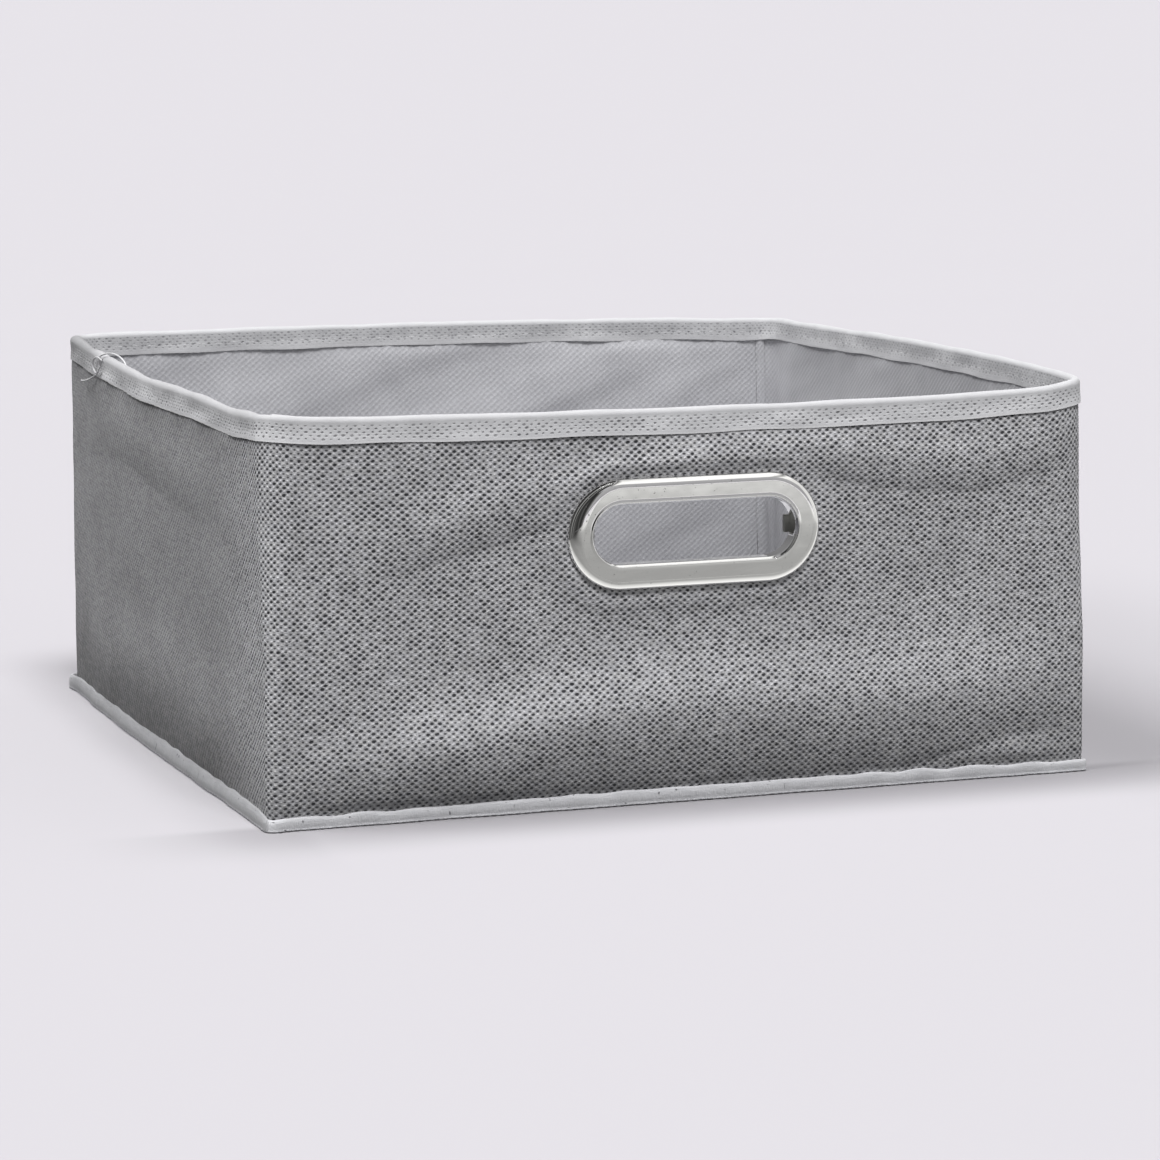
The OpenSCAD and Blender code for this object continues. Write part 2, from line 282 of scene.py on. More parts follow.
def weaveHoles(start, u, v, wide=1.0):
    # distances from the nearest hole and from the nearest knot, in radii, and random numbers for the hole
    look = weaveLook
    row = (v / look["rowPitch"]).floor()
    across = u / look["holePitch"] + row.math("FLOORED_MODULO", row, 2.0) * 0.5
    cell = start.node("ShaderNodeTexWhiteNoise", {}, {"Vector": across.floor().joined(row)}, 1)
    luckX, luckY, luckSize = cell.parts()
    x = (across.fract() - 0.5) * look["holePitch"] + (luckX - 0.5) * 0.42
    y = ((v / look["rowPitch"]).fract() - 0.5) * look["rowPitch"] + (luckY - 0.5) * 0.20
    c, s = math.cos(look["lean"]), math.sin(look["lean"])
    size = (luckSize - 0.5) * 0.55 + wide
    ex = (x * c + y * s) / (size * look["holeLong"])
    ey = (y * c - x * s) / (size * look["holeHigh"])
    kx = ((across + 0.5).fract() - 0.5) * (look["holePitch"] / 0.62)
    ky = y / 0.46
    return (ex * ex + ey * ey).root(), (kx * kx + ky * ky).root(), luckX, luckSize


def weaveMaterial():
    made, start, shader = newMaterial("outer_fabric")
    look = weaveLook
    uv = start.scaled((1000, 1000, 1000))
    drift = uv.noise(0.11, 2.0, 0.5, 1).parts()
    fine = uv.noise(0.9, 2.0, 0.6, 1).parts()
    u, v, _ = uv.parts()
    u = u + (drift[0] - 0.5) * 1.6 + (fine[0] - 0.5) * 0.22
    v = v + (drift[1] - 0.5) * 0.9 + (fine[1] - 0.5) * 0.14
    far, knotFar, luck, size = weaveHoles(start, u, v)
    # the pattern is pressed flat on the left wall
    pattern = u.step(-75, -4) * (1.0 - u.step(backEnd - 30, backEnd + 5))
    hole = (1.0 - far.step(0.58, 1.22)) * (pattern * 0.68 + 0.32)
    knot = (1.0 - knotFar.step(0.25, 1.25)) * (luck * 0.6 + 0.5) * (pattern * 0.7 + 0.3)
    # warp and weft lumps between the holes, with slubs that run along each thread
    slubWeft = uv.scaled((0.055, 0.85, 1)).noise(1.0, 3.0, 0.6)
    slubWarp = uv.scaled((0.68, 0.05, 1)).noise(1.0, 3.0, 0.6)
    fibre = uv.noise(2.6, 3.0, 0.7)
    lift = far.step(1.15, 2.1)
    tone = (slubWeft - 0.5) * 0.8 + (slubWarp - 0.5) * 0.7 + (fibre - 0.5) * 0.7 + (luck - 0.5) * 0.45
    # painted highlight: the thread is lightened away from the holes, and strongly at the knots where the
    # threads cross
    tone = tone + lift * 0.25 + knot * 0.80
    colour = tone.step(-0.45, 1.15).mix(look["thread"], look["threadLight"])
    cloud = uv.noise(0.028, 3.0, 0.6).step(0.3, 0.75) * 0.10
    # painted shade: the walls are darkened toward their foot
    foot = (1.0 - v.step(4, 50)) * 0.27
    # painted shade: the left wall, where the pattern fades, is darkened, a little more toward the bottom
    side = (1.0 - pattern) * (0.39 - v.step(0, 110) * 0.08)
    colour = colour.times(grey(0.0), cloud + foot + side)
    hue = uv.noise(0.35, 2.0, 0.5).step(0.42, 0.62)
    colour = (hue * 0.20).mix(colour, (0.40, 0.39, 0.36, 1))
    colour = (hole * (0.70 + 0.30 * size)).mix(colour, look["hole"])
    height = (1.0 - hole) * 0.75 + tone * 0.22 + knot * 0.25
    setShader(shader, start, {"Base Color": colour, "Normal": height.bump(0.00040, 1.0)},
              Roughness=0.88, Sheen_Weight=0.10, Sheen_Roughness=0.5, Specular_IOR_Level=0.22)
    return made


def tapeMaterial():
    # u along the rim, v round the tape from the lower edge of the outer flap over the top
    made, start, shader = newMaterial("rim_tape")
    uv = start.scaled((1000, 1000, 1000))
    drift = uv.noise(0.3, 2.0, 0.5, 1).parts()
    u, v, _ = uv.parts()
    far, _, luck, _ = weaveHoles(start, u + (drift[0] - 0.5) * 1.0, v * 1.08 + (drift[1] - 0.5) * 0.5, 0.92)
    outside = (1.0 - v.step(5.4, 7.2)) * v.step(0.7, 1.3)
    inside = v.step(11.8, 12.8) * (1.0 - v.step(17.8, 18.6)) * 0.55
    patch = uv.noise(0.09, 2.0, 0.5).step(0.30, 0.60) * 0.30 + 0.70
    dimple = (1.0 - far.step(0.45, 1.25)) * (outside * patch + inside) * (0.62 + 0.38 * luck)
    grain = uv.noise(2.2, 3.0, 0.65)
    soft = uv.scaled((0.10, 0.45, 1)).noise(1.0, 3.0, 0.6)
    tone = (grain - 0.5) * 0.8 + (soft - 0.5) * 0.9
    colour = tone.step(-0.5, 0.6).mix((0.61, 0.61, 0.625, 1), (0.75, 0.75, 0.765, 1))
    # painted highlight along the lower edge of the outer flap
    edge = 1.0 - v.step(0.25, 1.0)
    colour = (edge * 0.5).mix(colour, (0.86, 0.86, 0.87, 1))
    # painted shade: the top of the fold and the inner flap are darkened a little
    colour = colour.times(grey(0.73), v.step(5.6, 8.6))
    # painted shade: the left wall's tape is darkened, most of all behind its cut end
    colour = colour.times(grey(0.88), 1.0 - u.step(-14, -2))
    behind = u.step(backEnd - 4, backEnd + 10) * (1.0 - u.step(backEnd + 50, backEnd + 76) * 0.65)
    colour = colour.times(grey(0.60), behind)
    # painted highlight along the lower edge of the inner flap
    inner = v.step(18.2, 18.9)
    colour = (inner * 0.35).mix(colour, (0.60, 0.60, 0.61, 1))
    colour = (dimple * 0.88).mix(colour, (0.13, 0.13, 0.14, 1))
    # needle marks of the stitch row
    along = ((u / 7.0).fract() - 0.5) * 7.0
    spot = along * along + (v - 16.4) * (v - 16.4) * 2.0
    prick = (1.0 - spot.step(0.06, 0.5)) * 0.45
    colour = prick.mix(colour, (0.10, 0.10, 0.11, 1))
    height = tone * 0.20 - dimple * 0.8 - prick * 0.6
    setShader(shader, start, {"Base Color": colour, "Normal": height.bump(0.0003, 0.9)},
              Roughness=0.82, Sheen_Weight=0.12, Sheen_Roughness=0.45, Specular_IOR_Level=0.25)
    return made


def liningMaterial(name, low, high):
    # pressed diagonal crosshatch, as on spunbonded cloth
    made, start, shader = newMaterial(name)
    uv = start.scaled((1000, 1000, 1000))
    u, v, _ = uv.parts()
    drift = uv.noise(0.12, 2.0, 0.5) * 1.6
    rising, falling = (u * 0.85 + v + drift) / 2.5, (v - u * 0.85 + drift) / 2.5
    one = rising.math("PINGPONG", rising, 0.5) * 2.0
    two = falling.math("PINGPONG", falling, 0.5) * 2.0
    ridge = one.step(0.2, 0.9) * 0.62 + two.step(0.3, 0.95) * 0.38
    fibre = uv.noise(1.6, 4.0, 0.65)
    cloud = uv.noise(0.05, 3.0, 0.6)
    tone = ridge * 0.36 + (fibre - 0.5) * 0.8 + (cloud - 0.5) * 0.7 + 0.12
    colour = tone.step(-0.2, 0.9).mix(low, high)
    colour = colour.times(grey(0.70), 1.0 - v.step(25, 108))      # painted shade, darker toward the bottom
    # painted shade on the right wall's lining
    right = u.step(frontEnd + 2, frontEnd + 20) * (1.0 - u.step(rightEnd - 30, rightEnd - 14))
    colour = colour.times(grey(0.84), right)
    setShader(shader, start, {"Base Color": colour, "Normal": (ridge * 0.6 + fibre * 0.5).bump(0.00022, 0.9)},
              Roughness=0.75, Sheen_Weight=0.08, Sheen_Roughness=0.4, Specular_IOR_Level=0.32)
    return made


def bindingMaterial():
    made, start, shader = newMaterial("base_tape")
    uv = start.scaled((1000, 1000, 1000))
    u, v, _ = uv.parts()
    grain = uv.noise(1.9, 4.0, 0.7)
    soft = uv.scaled((0.12, 0.5, 1)).noise(1.0, 3.0, 0.6)
    tone = (grain - 0.5) * 1.3 + (soft - 0.5) * 1.0
    colour = tone.step(-0.6, 0.7).mix((0.50, 0.50, 0.52, 1), (0.70, 0.70, 0.72, 1))
    pits = uv.node("ShaderNodeTexVoronoi", {}, {"Vector": uv, "Scale": 0.42})
    pit = (1.0 - pits.step(0.10, 0.26)) * uv.noise(0.5, 1.0, 0.5).step(0.5, 0.62)
    colour = (pit * 0.75).mix(colour, (0.09, 0.09, 0.10, 1))
    colour = colour.times(grey(0.66), u.step(backEnd - 4, backEnd + 10))      # painted shade on the left side
    setShader(shader, start, {"Base Color": colour, "Normal": (tone - pit).bump(0.00025, 0.9)},
              Roughness=0.8, Sheen_Weight=0.1, Sheen_Roughness=0.45, Specular_IOR_Level=0.25)
    return made


def threadMaterial(name, low, high):
    made, start, shader = newMaterial(name)
    spot = place(start)
    tone = spot.noise(3.0, 3.0, 0.6)
    colour = tone.step(0.3, 0.7).mix(low, high)
    setShader(shader, start, {"Base Color": colour, "Normal": tone.bump(0.0001, 0.6)}, Roughness=0.65)
    return made


def boardMaterial():
    made, start, shader = newMaterial("stiffening_board")
    spot = place(start)
    grain = spot.scaled((0.5, 0.5, 2.2)).noise(1.2, 4.0, 0.7)
    fleck = spot.noise(2.4, 2.0, 0.5).step(0.62, 0.7)
    colour = grain.step(0.3, 0.7).mix((0.34, 0.27, 0.19, 1), (0.46, 0.38, 0.28, 1))
    colour = (fleck * 0.4).mix(colour, (0.25, 0.19, 0.13, 1))
    setShader(shader, start, {"Base Color": colour, "Normal": grain.bump(0.0002, 0.6)}, Roughness=0.9)
    return made


def chromeMaterial(name, tint, dull=0.0):
    made, start, shader = newMaterial(name)
    spot = place(start)
    smear = spot.scaled((0.05, 0.3, 0.30)).noise(1.0, 3.0, 0.6)
    fleck = spot.noise(1.3, 1.0, 0.4).step(0.74, 0.765)
    colour = (fleck * 0.7).mix(tint, (0.16, 0.16, 0.15, 1))
    colour = colour.times(grey(0.95), smear.step(0.35, 0.65))
    rough = smear * 0.03 + (0.035 + dull) + fleck * 0.3
    wave = spot.noise(0.07, 2.0, 0.5)
    setShader(shader, start, {"Base Color": colour, "Roughness": rough, "Normal": wave.bump(0.0012, 0.05)},
              Metallic=1.0)
    return made


outerFabric = weaveMaterial()
rimTape = tapeMaterial()
liningCloth = liningMaterial("lining", (0.42, 0.42, 0.44, 1), (0.555, 0.555, 0.575, 1))
insertCloth = liningMaterial("insert_cloth", (0.36, 0.36, 0.38, 1), (0.49, 0.49, 0.51, 1))
floorCloth = liningMaterial("floor_cloth", (0.30, 0.30, 0.32, 1), (0.42, 0.42, 0.44, 1))
baseTape = bindingMaterial()
rimThread = threadMaterial("thread", (0.50, 0.50, 0.51, 1), (0.66, 0.66, 0.67, 1))
baseThread = threadMaterial("base_thread", (0.17, 0.17, 0.18, 1), (0.36, 0.36, 0.38, 1))
boardStock = boardMaterial()
chrome = chromeMaterial("chrome", (0.88, 0.875, 0.865, 1))
darkChrome = chromeMaterial("chrome_dull", (0.30, 0.30, 0.29, 1), dull=0.32)
print("materials made")


# ---- building meshes from points in millimetres ----

def link(name, mesh, material):
    made = bpy.data.objects.new(name, mesh)
    bpy.context.scene.collection.objects.link(made)
    mesh.materials.append(material)
    return made


def buildMesh(name, points, faces, material, uv=None, normals=None):
    points = np.asarray(points, float).reshape(-1, 3) * mm
    faces = np.asarray(faces, int)
    mesh = bpy.data.meshes.new(name)
    mesh.vertices.add(len(points))
    mesh.vertices.foreach_set("co", points.astype(np.float32).ravel())
    mesh.loops.add(faces.size)
    mesh.loops.foreach_set("vertex_index", faces.ravel().astype(np.int32))
    mesh.polygons.add(len(faces))
    mesh.polygons.foreach_set("loop_start", (np.arange(len(faces)) * faces.shape[1]).astype(np.int32))
    mesh.update(calc_edges=True)
    mesh.validate()
    mesh.polygons.foreach_set("use_smooth", np.ones(len(mesh.polygons), bool))
    if uv is not None:
        layer = mesh.uv_layers.new(name="cloth")
        corner = np.zeros(len(mesh.loops), np.int32)
        mesh.loops.foreach_get("vertex_index", corner)
        uv = np.asarray(uv, float).reshape(-1, 2)[corner] * mm
        layer.data.foreach_set("uv", uv.astype(np.float32).ravel())
    if normals is not None:
        mesh.normals_split_custom_set_from_vertices(np.asarray(normals, float).reshape(-1, 3).tolist())
    mesh.update()
    return link(name, mesh, material)


def gridFaces(rows, columns, closedRows=False, closedColumns=False):
    index = np.arange(rows * columns).reshape(rows, columns)
    if closedRows:
        index = np.vstack([index, index[:1]])
    if closedColumns:
        index = np.hstack([index, index[:, :1]])
    return np.stack([index[:-1, :-1], index[:-1, 1:], index[1:, 1:], index[1:, :-1]], -1).reshape(-1, 4)


def unit(v):
    return v / np.maximum(np.linalg.norm(v, axis=-1, keepdims=True), 1e-9)


def thickSheet(name, outer, inner, uv, material, normals=None, keep=None):
    # a sheet with an outer face, an inner face and closed edges, also round any faces left out by keep
    rows, columns = outer.shape[:2]
    count = rows * columns
    faces = gridFaces(rows, columns)
    if keep is not None:
        faces = faces[keep.reshape(-1)]
    ends = np.roll(faces, -1, axis=1)
    a, b = faces.reshape(-1), ends.reshape(-1)
    lonely = ~np.isin(a * count + b, b * count + a)
    a, b = a[lonely], b[lonely]
    sides = np.stack([b, a, a + count, b + count], -1)
    allFaces = np.vstack([faces, faces[:, ::-1] + count, sides])
    points = np.vstack([outer.reshape(-1, 3), inner.reshape(-1, 3)])
    used = np.zeros(len(points), bool)
    used[allFaces.reshape(-1)] = True
    renumber = np.cumsum(used) - 1
    bothUv = np.vstack([uv.reshape(-1, 2)] * 2)[used]
    bothNormals = None
    if normals is not None:
        bothNormals = np.vstack([normals.reshape(-1, 3), -normals.reshape(-1, 3)])[used]
    return buildMesh(name, points[used], renumber[allFaces], material, bothUv, bothNormals)


def tubes(name, paths, radius, material, around=7):
    # round threads along paths of shape (number, steps, 3), closed with tapered ends
    paths = np.asarray(paths, float)
    number, steps = paths.shape[:2]
    along = unit(np.gradient(paths, axis=1))
    side = unit(np.cross(along, np.array([0.13, 0.21, 0.97])))
    up = np.cross(side, along)
    angle = np.arange(around) * 2 * math.pi / around
    taper = np.ones(steps)
    taper[0] = taper[-1] = 0.25
    size = np.asarray(radius, float) * taper
    ring = (side[:, :, None] * np.cos(angle)[:, None] + up[:, :, None] * np.sin(angle)[:, None])
    points = paths[:, :, None] + ring * size[None, :, None, None]
    one = gridFaces(steps, around, closedColumns=True)
    offset = (np.arange(number) * steps * around)[:, None, None]
    faces = (one[None] + offset).reshape(-1, 4)
    return buildMesh(name, points, faces, material)


def smooth(x, low, high):
    t = np.clip((x - low) / (high - low), 0, 1)
    return t * t * (3 - 2 * t)


def keyed(x, keys, span):
    # smooth curve through (place, value) keys that repeats after span
    places = np.array([k[0] for k in keys], float)
    values = np.array([k[1] for k in keys], float)
    places = np.concatenate([places[-2:] - span, places, places[:2] + span])
    values = np.concatenate([values[-2:], values, values[:2]])
    x = np.mod(x, span)
    k = np.clip(np.searchsorted(places, x, side="right") - 1, 1, len(places) - 3)
    h = places[k + 1] - places[k]
    t = (x - places[k]) / h
    slopeA = (values[k + 1] - values[k - 1]) / (places[k + 1] - places[k - 1]) * h
    slopeB = (values[k + 2] - values[k]) / (places[k + 2] - places[k]) * h
    return ((2 * t**3 - 3 * t**2 + 1) * values[k] + (t**3 - 2 * t**2 + t) * slopeA
            + (-2 * t**3 + 3 * t**2) * values[k + 1] + (t**3 - t**2) * slopeB)


def ripple(seed, x, y, long, count=7):
    # gentle random unevenness about -1 to 1, with waves near the given length
    local = np.random.default_rng(seed)
    total = 0
    for _ in range(count):
        angle, phase = local.uniform(0, math.pi), local.uniform(0, 2 * math.pi)
        wave = long * local.uniform(0.6, 1.7)
        total = total + np.sin((x * math.cos(angle) + y * math.sin(angle)) * 2 * math.pi / wave + phase)
    return total / math.sqrt(count) / 1.3


# ---- the outline that every cloth layer follows ----

shape = {
    "cornerReach": 12.5,       # mm of wall on each side of a corner that the rounding takes
    "cornerLow": 4.5,          # corner radius near the bottom
    "cornerHigh": 11.5,        # and at the rim
    # height of the rim over its nominal height: (mm round the walls from the front left corner, mm)
    "rimLift": [(0, 2), (20, 0.7), (40, 0), (90, -0.8), (150, -1.5), (240, -1.6), (290, -0.25), (305, 1.4),
                (335, 2.7), (390, 2.7), (480, 1.5), (590, -1), (640, -1.1), (680, 0.3), (800, 2.4), (930, 2.8),
                (1020, 1.8), (1080, 0.1), (1150, 0.8), (1195, 0.2), (1225, 1.3)],
    # how far the walls lean out: (mm round the walls, mm)
    "bow": [(0, 0), (155, 0), (310, 0), (380, 2.6), (450, 3.4), (540, 2.4), (620, 0), (775, 0.9),
            (930, 0), (990, 3.2), (1040, 4.0), (1120, 2.6), (1200, 0.6)],
}


def outline(s, radius):
    # point and outward direction at distance s round the walls, with rounded corners
    s = np.mod(s, girth)
    side = np.clip(np.searchsorted(sideStart, s, side="right") - 1, 0, 3)
    along = s - sideStart[side]
    length = sideLength[side]
    late = along > length / 2
    corner = np.where(late, (side + 1) % 4, side)
    away = np.where(late, along - length, along)
    reach = shape["cornerReach"]
    straight = reach - radius
    arc = math.pi / 2 * radius
    gone = (away + reach) / (2 * reach) * (2 * straight + arc)
    turn = np.clip((gone - straight) / radius, 0, math.pi / 2)[..., None]
    goIn, goOut = travel[corner - 1], travel[corner]
    faceIn, faceOut = facing[corner - 1], facing[corner]
    outward = faceIn * np.cos(turn) + faceOut * np.sin(turn)
    tip = wallCorners[corner]
    middle = tip - goIn * radius[..., None] - faceIn * radius[..., None]
    near = (middle + outward * radius[..., None]
            - goIn * np.maximum(straight - gone, 0)[..., None]
            + goOut * np.maximum(gone - straight - arc, 0)[..., None])
    plain = tip + np.where(away < 0, 1, 0)[..., None] * goIn * away[..., None] \
        + np.where(away < 0, 0, 1)[..., None] * goOut * away[..., None]
    point = np.where((np.abs(away) < reach)[..., None], near, plain)
    return point, outward


def cornerRadius(z):
    return shape["cornerLow"] + (shape["cornerHigh"] - shape["cornerLow"]) * smooth(z, 25, 135)


def rimLift(s):
    return keyed(s, shape["rimLift"], girth)


def bow(s, z):
    # the side walls lean out most at the rim
    return keyed(s, shape["bow"], girth) * (0.42 + 0.58 * smooth(z, 0, wallTop))


def wallPoint(s, z, depth):
    # depth is measured inward from the outer face
    s, z, depth = np.broadcast_arrays(np.asarray(s, float), np.asarray(z, float), np.asarray(depth, float))
    point, outward = outline(s, cornerRadius(z))
    xy = point + outward * (bow(s, z) - depth)[..., None]
    lift = rimLift(s) * smooth(z, 35, wallTop - 8)
    return np.concatenate([xy, (z + lift)[..., None]], -1)


def surfaceNormals(surface, s, z, step=0.4):
    ds = surface(s + step, z) - surface(s - step, z)
    dz = surface(s, z + step) - surface(s, z - step)
    return unit(np.cross(ds, dz))


# ---- where the walls are divided, so that each strip bends across one corner or crease ----

leftCrease = backEnd + sideLength[3] / 2 - girth
rightCrease = frontEnd + sideLength[1] / 2
frontSplit = frontEnd - 15
leftFrontMiddle = leftCrease / 2
leftBackMiddle = leftCrease * 1.5
rightFrontMiddle = frontEnd + (rightCrease - frontEnd) / 2
rightBackMiddle = rightCrease + (rightEnd - rightCrease) / 2
leftX, rightX = wallCorners[0][0], wallCorners[1][0]
frontY, backY = wallCorners[0][1], wallCorners[2][1]

strips = [
    # name, start, end, bodies, what it bends round and where, and the frame's panels that it stands for
    ("front_left", leftFrontMiddle, frontSplit, ("front", "left_front"), "corner", (leftX, frontY, 1, 1),
     ("front",)),
    ("left_crease", leftBackMiddle, leftFrontMiddle, ("left_front", "left_back"), "crease", (leftX, middleY),
     ("left_front", "left_back")),
    ("back_left", rightEnd, girth + leftBackMiddle, ("left_back", "back"), "corner", (leftX, backY, 1, -1),
     ("back",)),
    ("front_right", frontSplit, rightFrontMiddle, ("front", "right_front"), "corner", (rightX, frontY, -1, 1),
     ()),
    ("right_crease", rightFrontMiddle, rightBackMiddle, ("right_front", "right_back"), "crease",
     (rightX, middleY), ("right_front",)),
    ("right_end", rightBackMiddle, rightEnd, ("right_back",), "plain", None, ("right_back",)),
]
panels = [
    # body, start, end
    ("front", 0, frontEnd),
    ("left_front", leftCrease, 0),
    ("left_back", backEnd - girth, leftCrease),
    ("right_front", frontEnd, rightCrease),
    ("right_back", rightCrease, rightEnd),
    ("back", rightEnd, backEnd),
]


def panelPlaces(cornerGap, creaseGap):
    # each panel's body with its start and end, short of the corners and creases by the gaps
    for body, start, end in panels:
        gaps = [creaseGap if place in (leftCrease, rightCrease) else cornerGap for place in (start, end)]
        yield body, start + gaps[0], end - gaps[1]


def placed(piece, slot, body, *nodes):
    # gives a piece its body, and hides the frame's nodes that it stands for; slot is not used
    if nodes:
        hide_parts(*nodes)
    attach(piece, body)


def follow(obj, strip, cornerReach, creaseReach):
    # a plain strip is attached to its body; any other strip only has its transform baked into its mesh, and
    # the reaches, short for a layer near the fold line and longer further off, are not used
    bodies, kind, spot = strip[3:6]
    if kind == "plain":
        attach(obj, bodies[0])
    elif kind == "crease":
        x, y = spot
        x * mm
        (y - creaseReach) * mm
        x * mm
        (y + creaseReach) * mm
        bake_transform(obj)
    else:
        x, y, inX, inY = spot
        alongX = (x + inX * cornerReach, y)
        alongY = (x, y + inY * cornerReach)
        ends = (alongX, alongY)
        if bodies[0].startswith("left_back"):
            ends = (alongY, alongX)
        ends[0][0] * mm
        ends[0][1] * mm
        ends[1][0] * mm
        ends[1][1] * mm
        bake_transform(obj)


def wrapWalls(make, sizes, layer, tall):
    # one sheet for each strip of the walls
    for strip in strips:
        piece = make(strip)
        follow(piece, strip, sizes["cornerReach"], sizes["creaseReach"])
        nodes = [panel + "_" + layer for panel in strip[6]]
        if nodes:
            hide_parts(*nodes)
        (strip[2] - strip[1]) * mm
        tall * mm


def stripPlaces(start, end, spacing):
    # evenly spaced places, closer together round the corners
    count = max(int(round((end - start) / spacing)), 2)
    even = np.linspace(start, end, count + 1)
    extra = []
    for corner in [0, frontEnd, rightEnd, backEnd, girth, -sideLength[3]]:
        reach = shape["cornerReach"]
        fine = np.arange(corner - reach, corner + reach + 0.01, 0.8)
        extra.append(fine[(fine > start + 0.3) & (fine < end - 0.3)])
        even = even[(np.abs(even - corner) > reach + 0.5) | (even == even[0]) | (even == even[-1])]
    for crease in [leftCrease, rightCrease]:
        fine = np.arange(crease - 12, crease + 12.01, 0.8)
        extra.append(fine[(fine > start + 0.3) & (fine < end - 0.3)])
        even = even[(np.abs(even - crease) > 12.5) | (even == even[0]) | (even == even[-1])]
    return np.unique(np.round(np.concatenate([even] + extra), 4))


# ---- outer fabric ----

outerCloth = {
    "thick": 0.6,
    "bottom": 2.6,
    "top": wallTop - 4.5,
    "spacing": 1.5,
    "besideHandle": 1.5,
    "cornerReach": 10,   # how far from a corner or crease the cloth would bend as the bin folds; follow reads it but bends nothing
    "creaseReach": 1.2,
    # long soft folds: (mm round the walls, height of the crest, reach below, reach above, how far out)
    "ridges": [
        [(0, 14, 11, 9, 0.0), (14, 16, 13, 11, 1.6), (33, 19, 16, 14, 3.0), (60, 23, 20, 14, 4.6),
         (90, 27, 24, 14, 5.2), (119, 31, 28, 15, 5.2), (147, 33, 29, 19, 4.8), (204, 31, 26, 19, 4.4),
         (240, 30, 24, 18, 4.2), (268, 33, 20, 18, 3.2), (290, 35, 18, 18, 1.6), (306, 36, 18, 18, 0.0)],
        [(26, 96, 14, 10, 0.0), (60, 104, 14, 10, 1.5), (90, 112, 14, 10, 1.5), (119, 117, 12, 8, 1.3),
         (150, 124, 10, 7, 1.5), (204, 126, 10, 7, 1.5), (232, 121, 12, 9, 1.4), (268, 119, 12, 9, 1.4),
         (292, 121, 10, 8, 1.0), (306, 122, 10, 8, 0.0)],
        [(232, 12, 8, 7, 0.0), (262, 11, 7, 6, 1.0), (292, 8, 5, 5, 1.2), (304, 8, 5, 5, 0.0)],
        [(322, 18, 14, 12, 0.0), (372, 24, 20, 16, 2.6), (460, 30, 26, 18, 3.4), (560, 26, 22, 18, 2.4),
         (608, 20, 16, 12, 0.0)],
        [(340, 112, 12, 10, 0.0), (430, 120, 12, 9, 1.3), (560, 112, 12, 10, 1.0), (600, 108, 12, 10, 0.0)],
        [(632, 18, 14, 12, 0.0), (690, 26, 22, 16, 3.2), (790, 33, 29, 18, 4.4), (870, 27, 23, 16, 3.2),
         (920, 18, 14, 12, 0.0)],
        [(640, 104, 12, 10, 0.0), (720, 116, 12, 9, 1.4), (840, 120, 12, 9, 1.4), (915, 112, 12, 9, 0.0)],
        [(942, 16, 13, 12, 0.0), (1000, 22, 18, 16, 1.4), (1090, 27, 23, 20, 2.0), (1170, 22, 18, 18, 1.6),
         (1228, 16, 13, 12, 0.0)],
        [(950, 108, 12, 10, 0.0), (1040, 119, 12, 10, 1.0), (1130, 112, 14, 10, 0.8),
         (1220, 106, 12, 10, 0.0)],
    ],
}
handleLow, handleHigh = boxOf("handle_front_ring")
handleMiddle = ((handleLow.x + handleHigh.x) / 2, (handleLow.z + handleHigh.z) / 2)
handleRun = (handleHigh.x - handleLow.x) - (handleHigh.z - handleLow.z)
handleRadius = (handleHigh.z - handleLow.z) / 2


def fromHandle(s, z):
    # distance from the centre line of the handle, for places on the front wall
    x = s + leftX - handleMiddle[0]
    past = np.maximum(np.abs(x) - handleRun / 2, 0)
    return np.where((s > 0) & (s < frontEnd), np.hypot(past, z - handleMiddle[1]), 1e3)


def foldHeight(s, z, folds):
    total = 0
    for (s0, z0), (s1, z1), below, above, height in folds:
        span = (s1 - s0) ** 2 + (z1 - z0) ** 2
        share = np.clip(((s - s0) * (s1 - s0) + (z - z0) * (z1 - z0)) / span, -0.6, 1.6)
        level = z0 + (z1 - z0) * share
        off = (z - level) / np.where(z < level, below, above)
        ends = 1 - smooth(np.abs(share - 0.5), 0.28, 0.85)
        total = total + height * np.exp(-off * off) * ends
    return total


def along(x, places, values):
    # eased line through the given values
    return sum(np.interp(x + step, places, values) for step in (-10, -5, 0, 5, 10)) / 5


def ridgeHeight(s, z, ridges):
    total = 0
    for ridge in ridges:
        places, crest, below, above, height = np.array(ridge).T
        level = along(s, places, crest)
        under = np.clip(1 - ((level - z) / along(s, places, below)) ** 2, 0, 1)
        over = np.exp(-((z - level) / along(s, places, above)) ** 2)
        total = total + along(s, places, height) * np.where(z < level, under, over)
    return total


def clothSwell(s, z):
    # how far the outer fabric stands off the boards
    turned = np.mod(s, girth)
    folds = ridgeHeight(turned, z, outerCloth["ridges"])
    circle = turned / girth * 2 * math.pi
    x, y = np.cos(circle) * girth / 2 / math.pi, np.sin(circle) * girth / 2 / math.pi
    uneven = 0.30 * ripple(3, x + 0.6 * z, y - 0.5 * z, 70) + 0.14 * ripple(5, x - 0.4 * z, y + 0.8 * z, 24)
    edges = smooth(z, 1, 9) * (1 - smooth(z, wallTop - 13, wallTop - 4))
    off = fromHandle(s, z) - handleRadius
    snug = 1.1 * np.exp(-((off - 2.5) / 5) ** 2)     # the cloth presses up against the ring
    return (np.maximum(folds + uneven * 0.8 + 0.25, 0) * smooth(off, -0.6, 8) * edges
            + snug * smooth(off, -0.6, 0.8) + 0.03)


def outerSurface(s, z):
    return wallPoint(s, z, -clothSwell(s, z))


def outerStrip(strip):
    s, z, keep = wallGrid(strip, outerCloth)
    inner = wallPoint(s, z, outerCloth["thick"] - clothSwell(s, z))
    return thickSheet("outer_fabric_" + strip[0], outerSurface(s, z), inner, np.stack([s, z], -1), outerFabric,
                      surfaceNormals(outerSurface, s, z), keep)


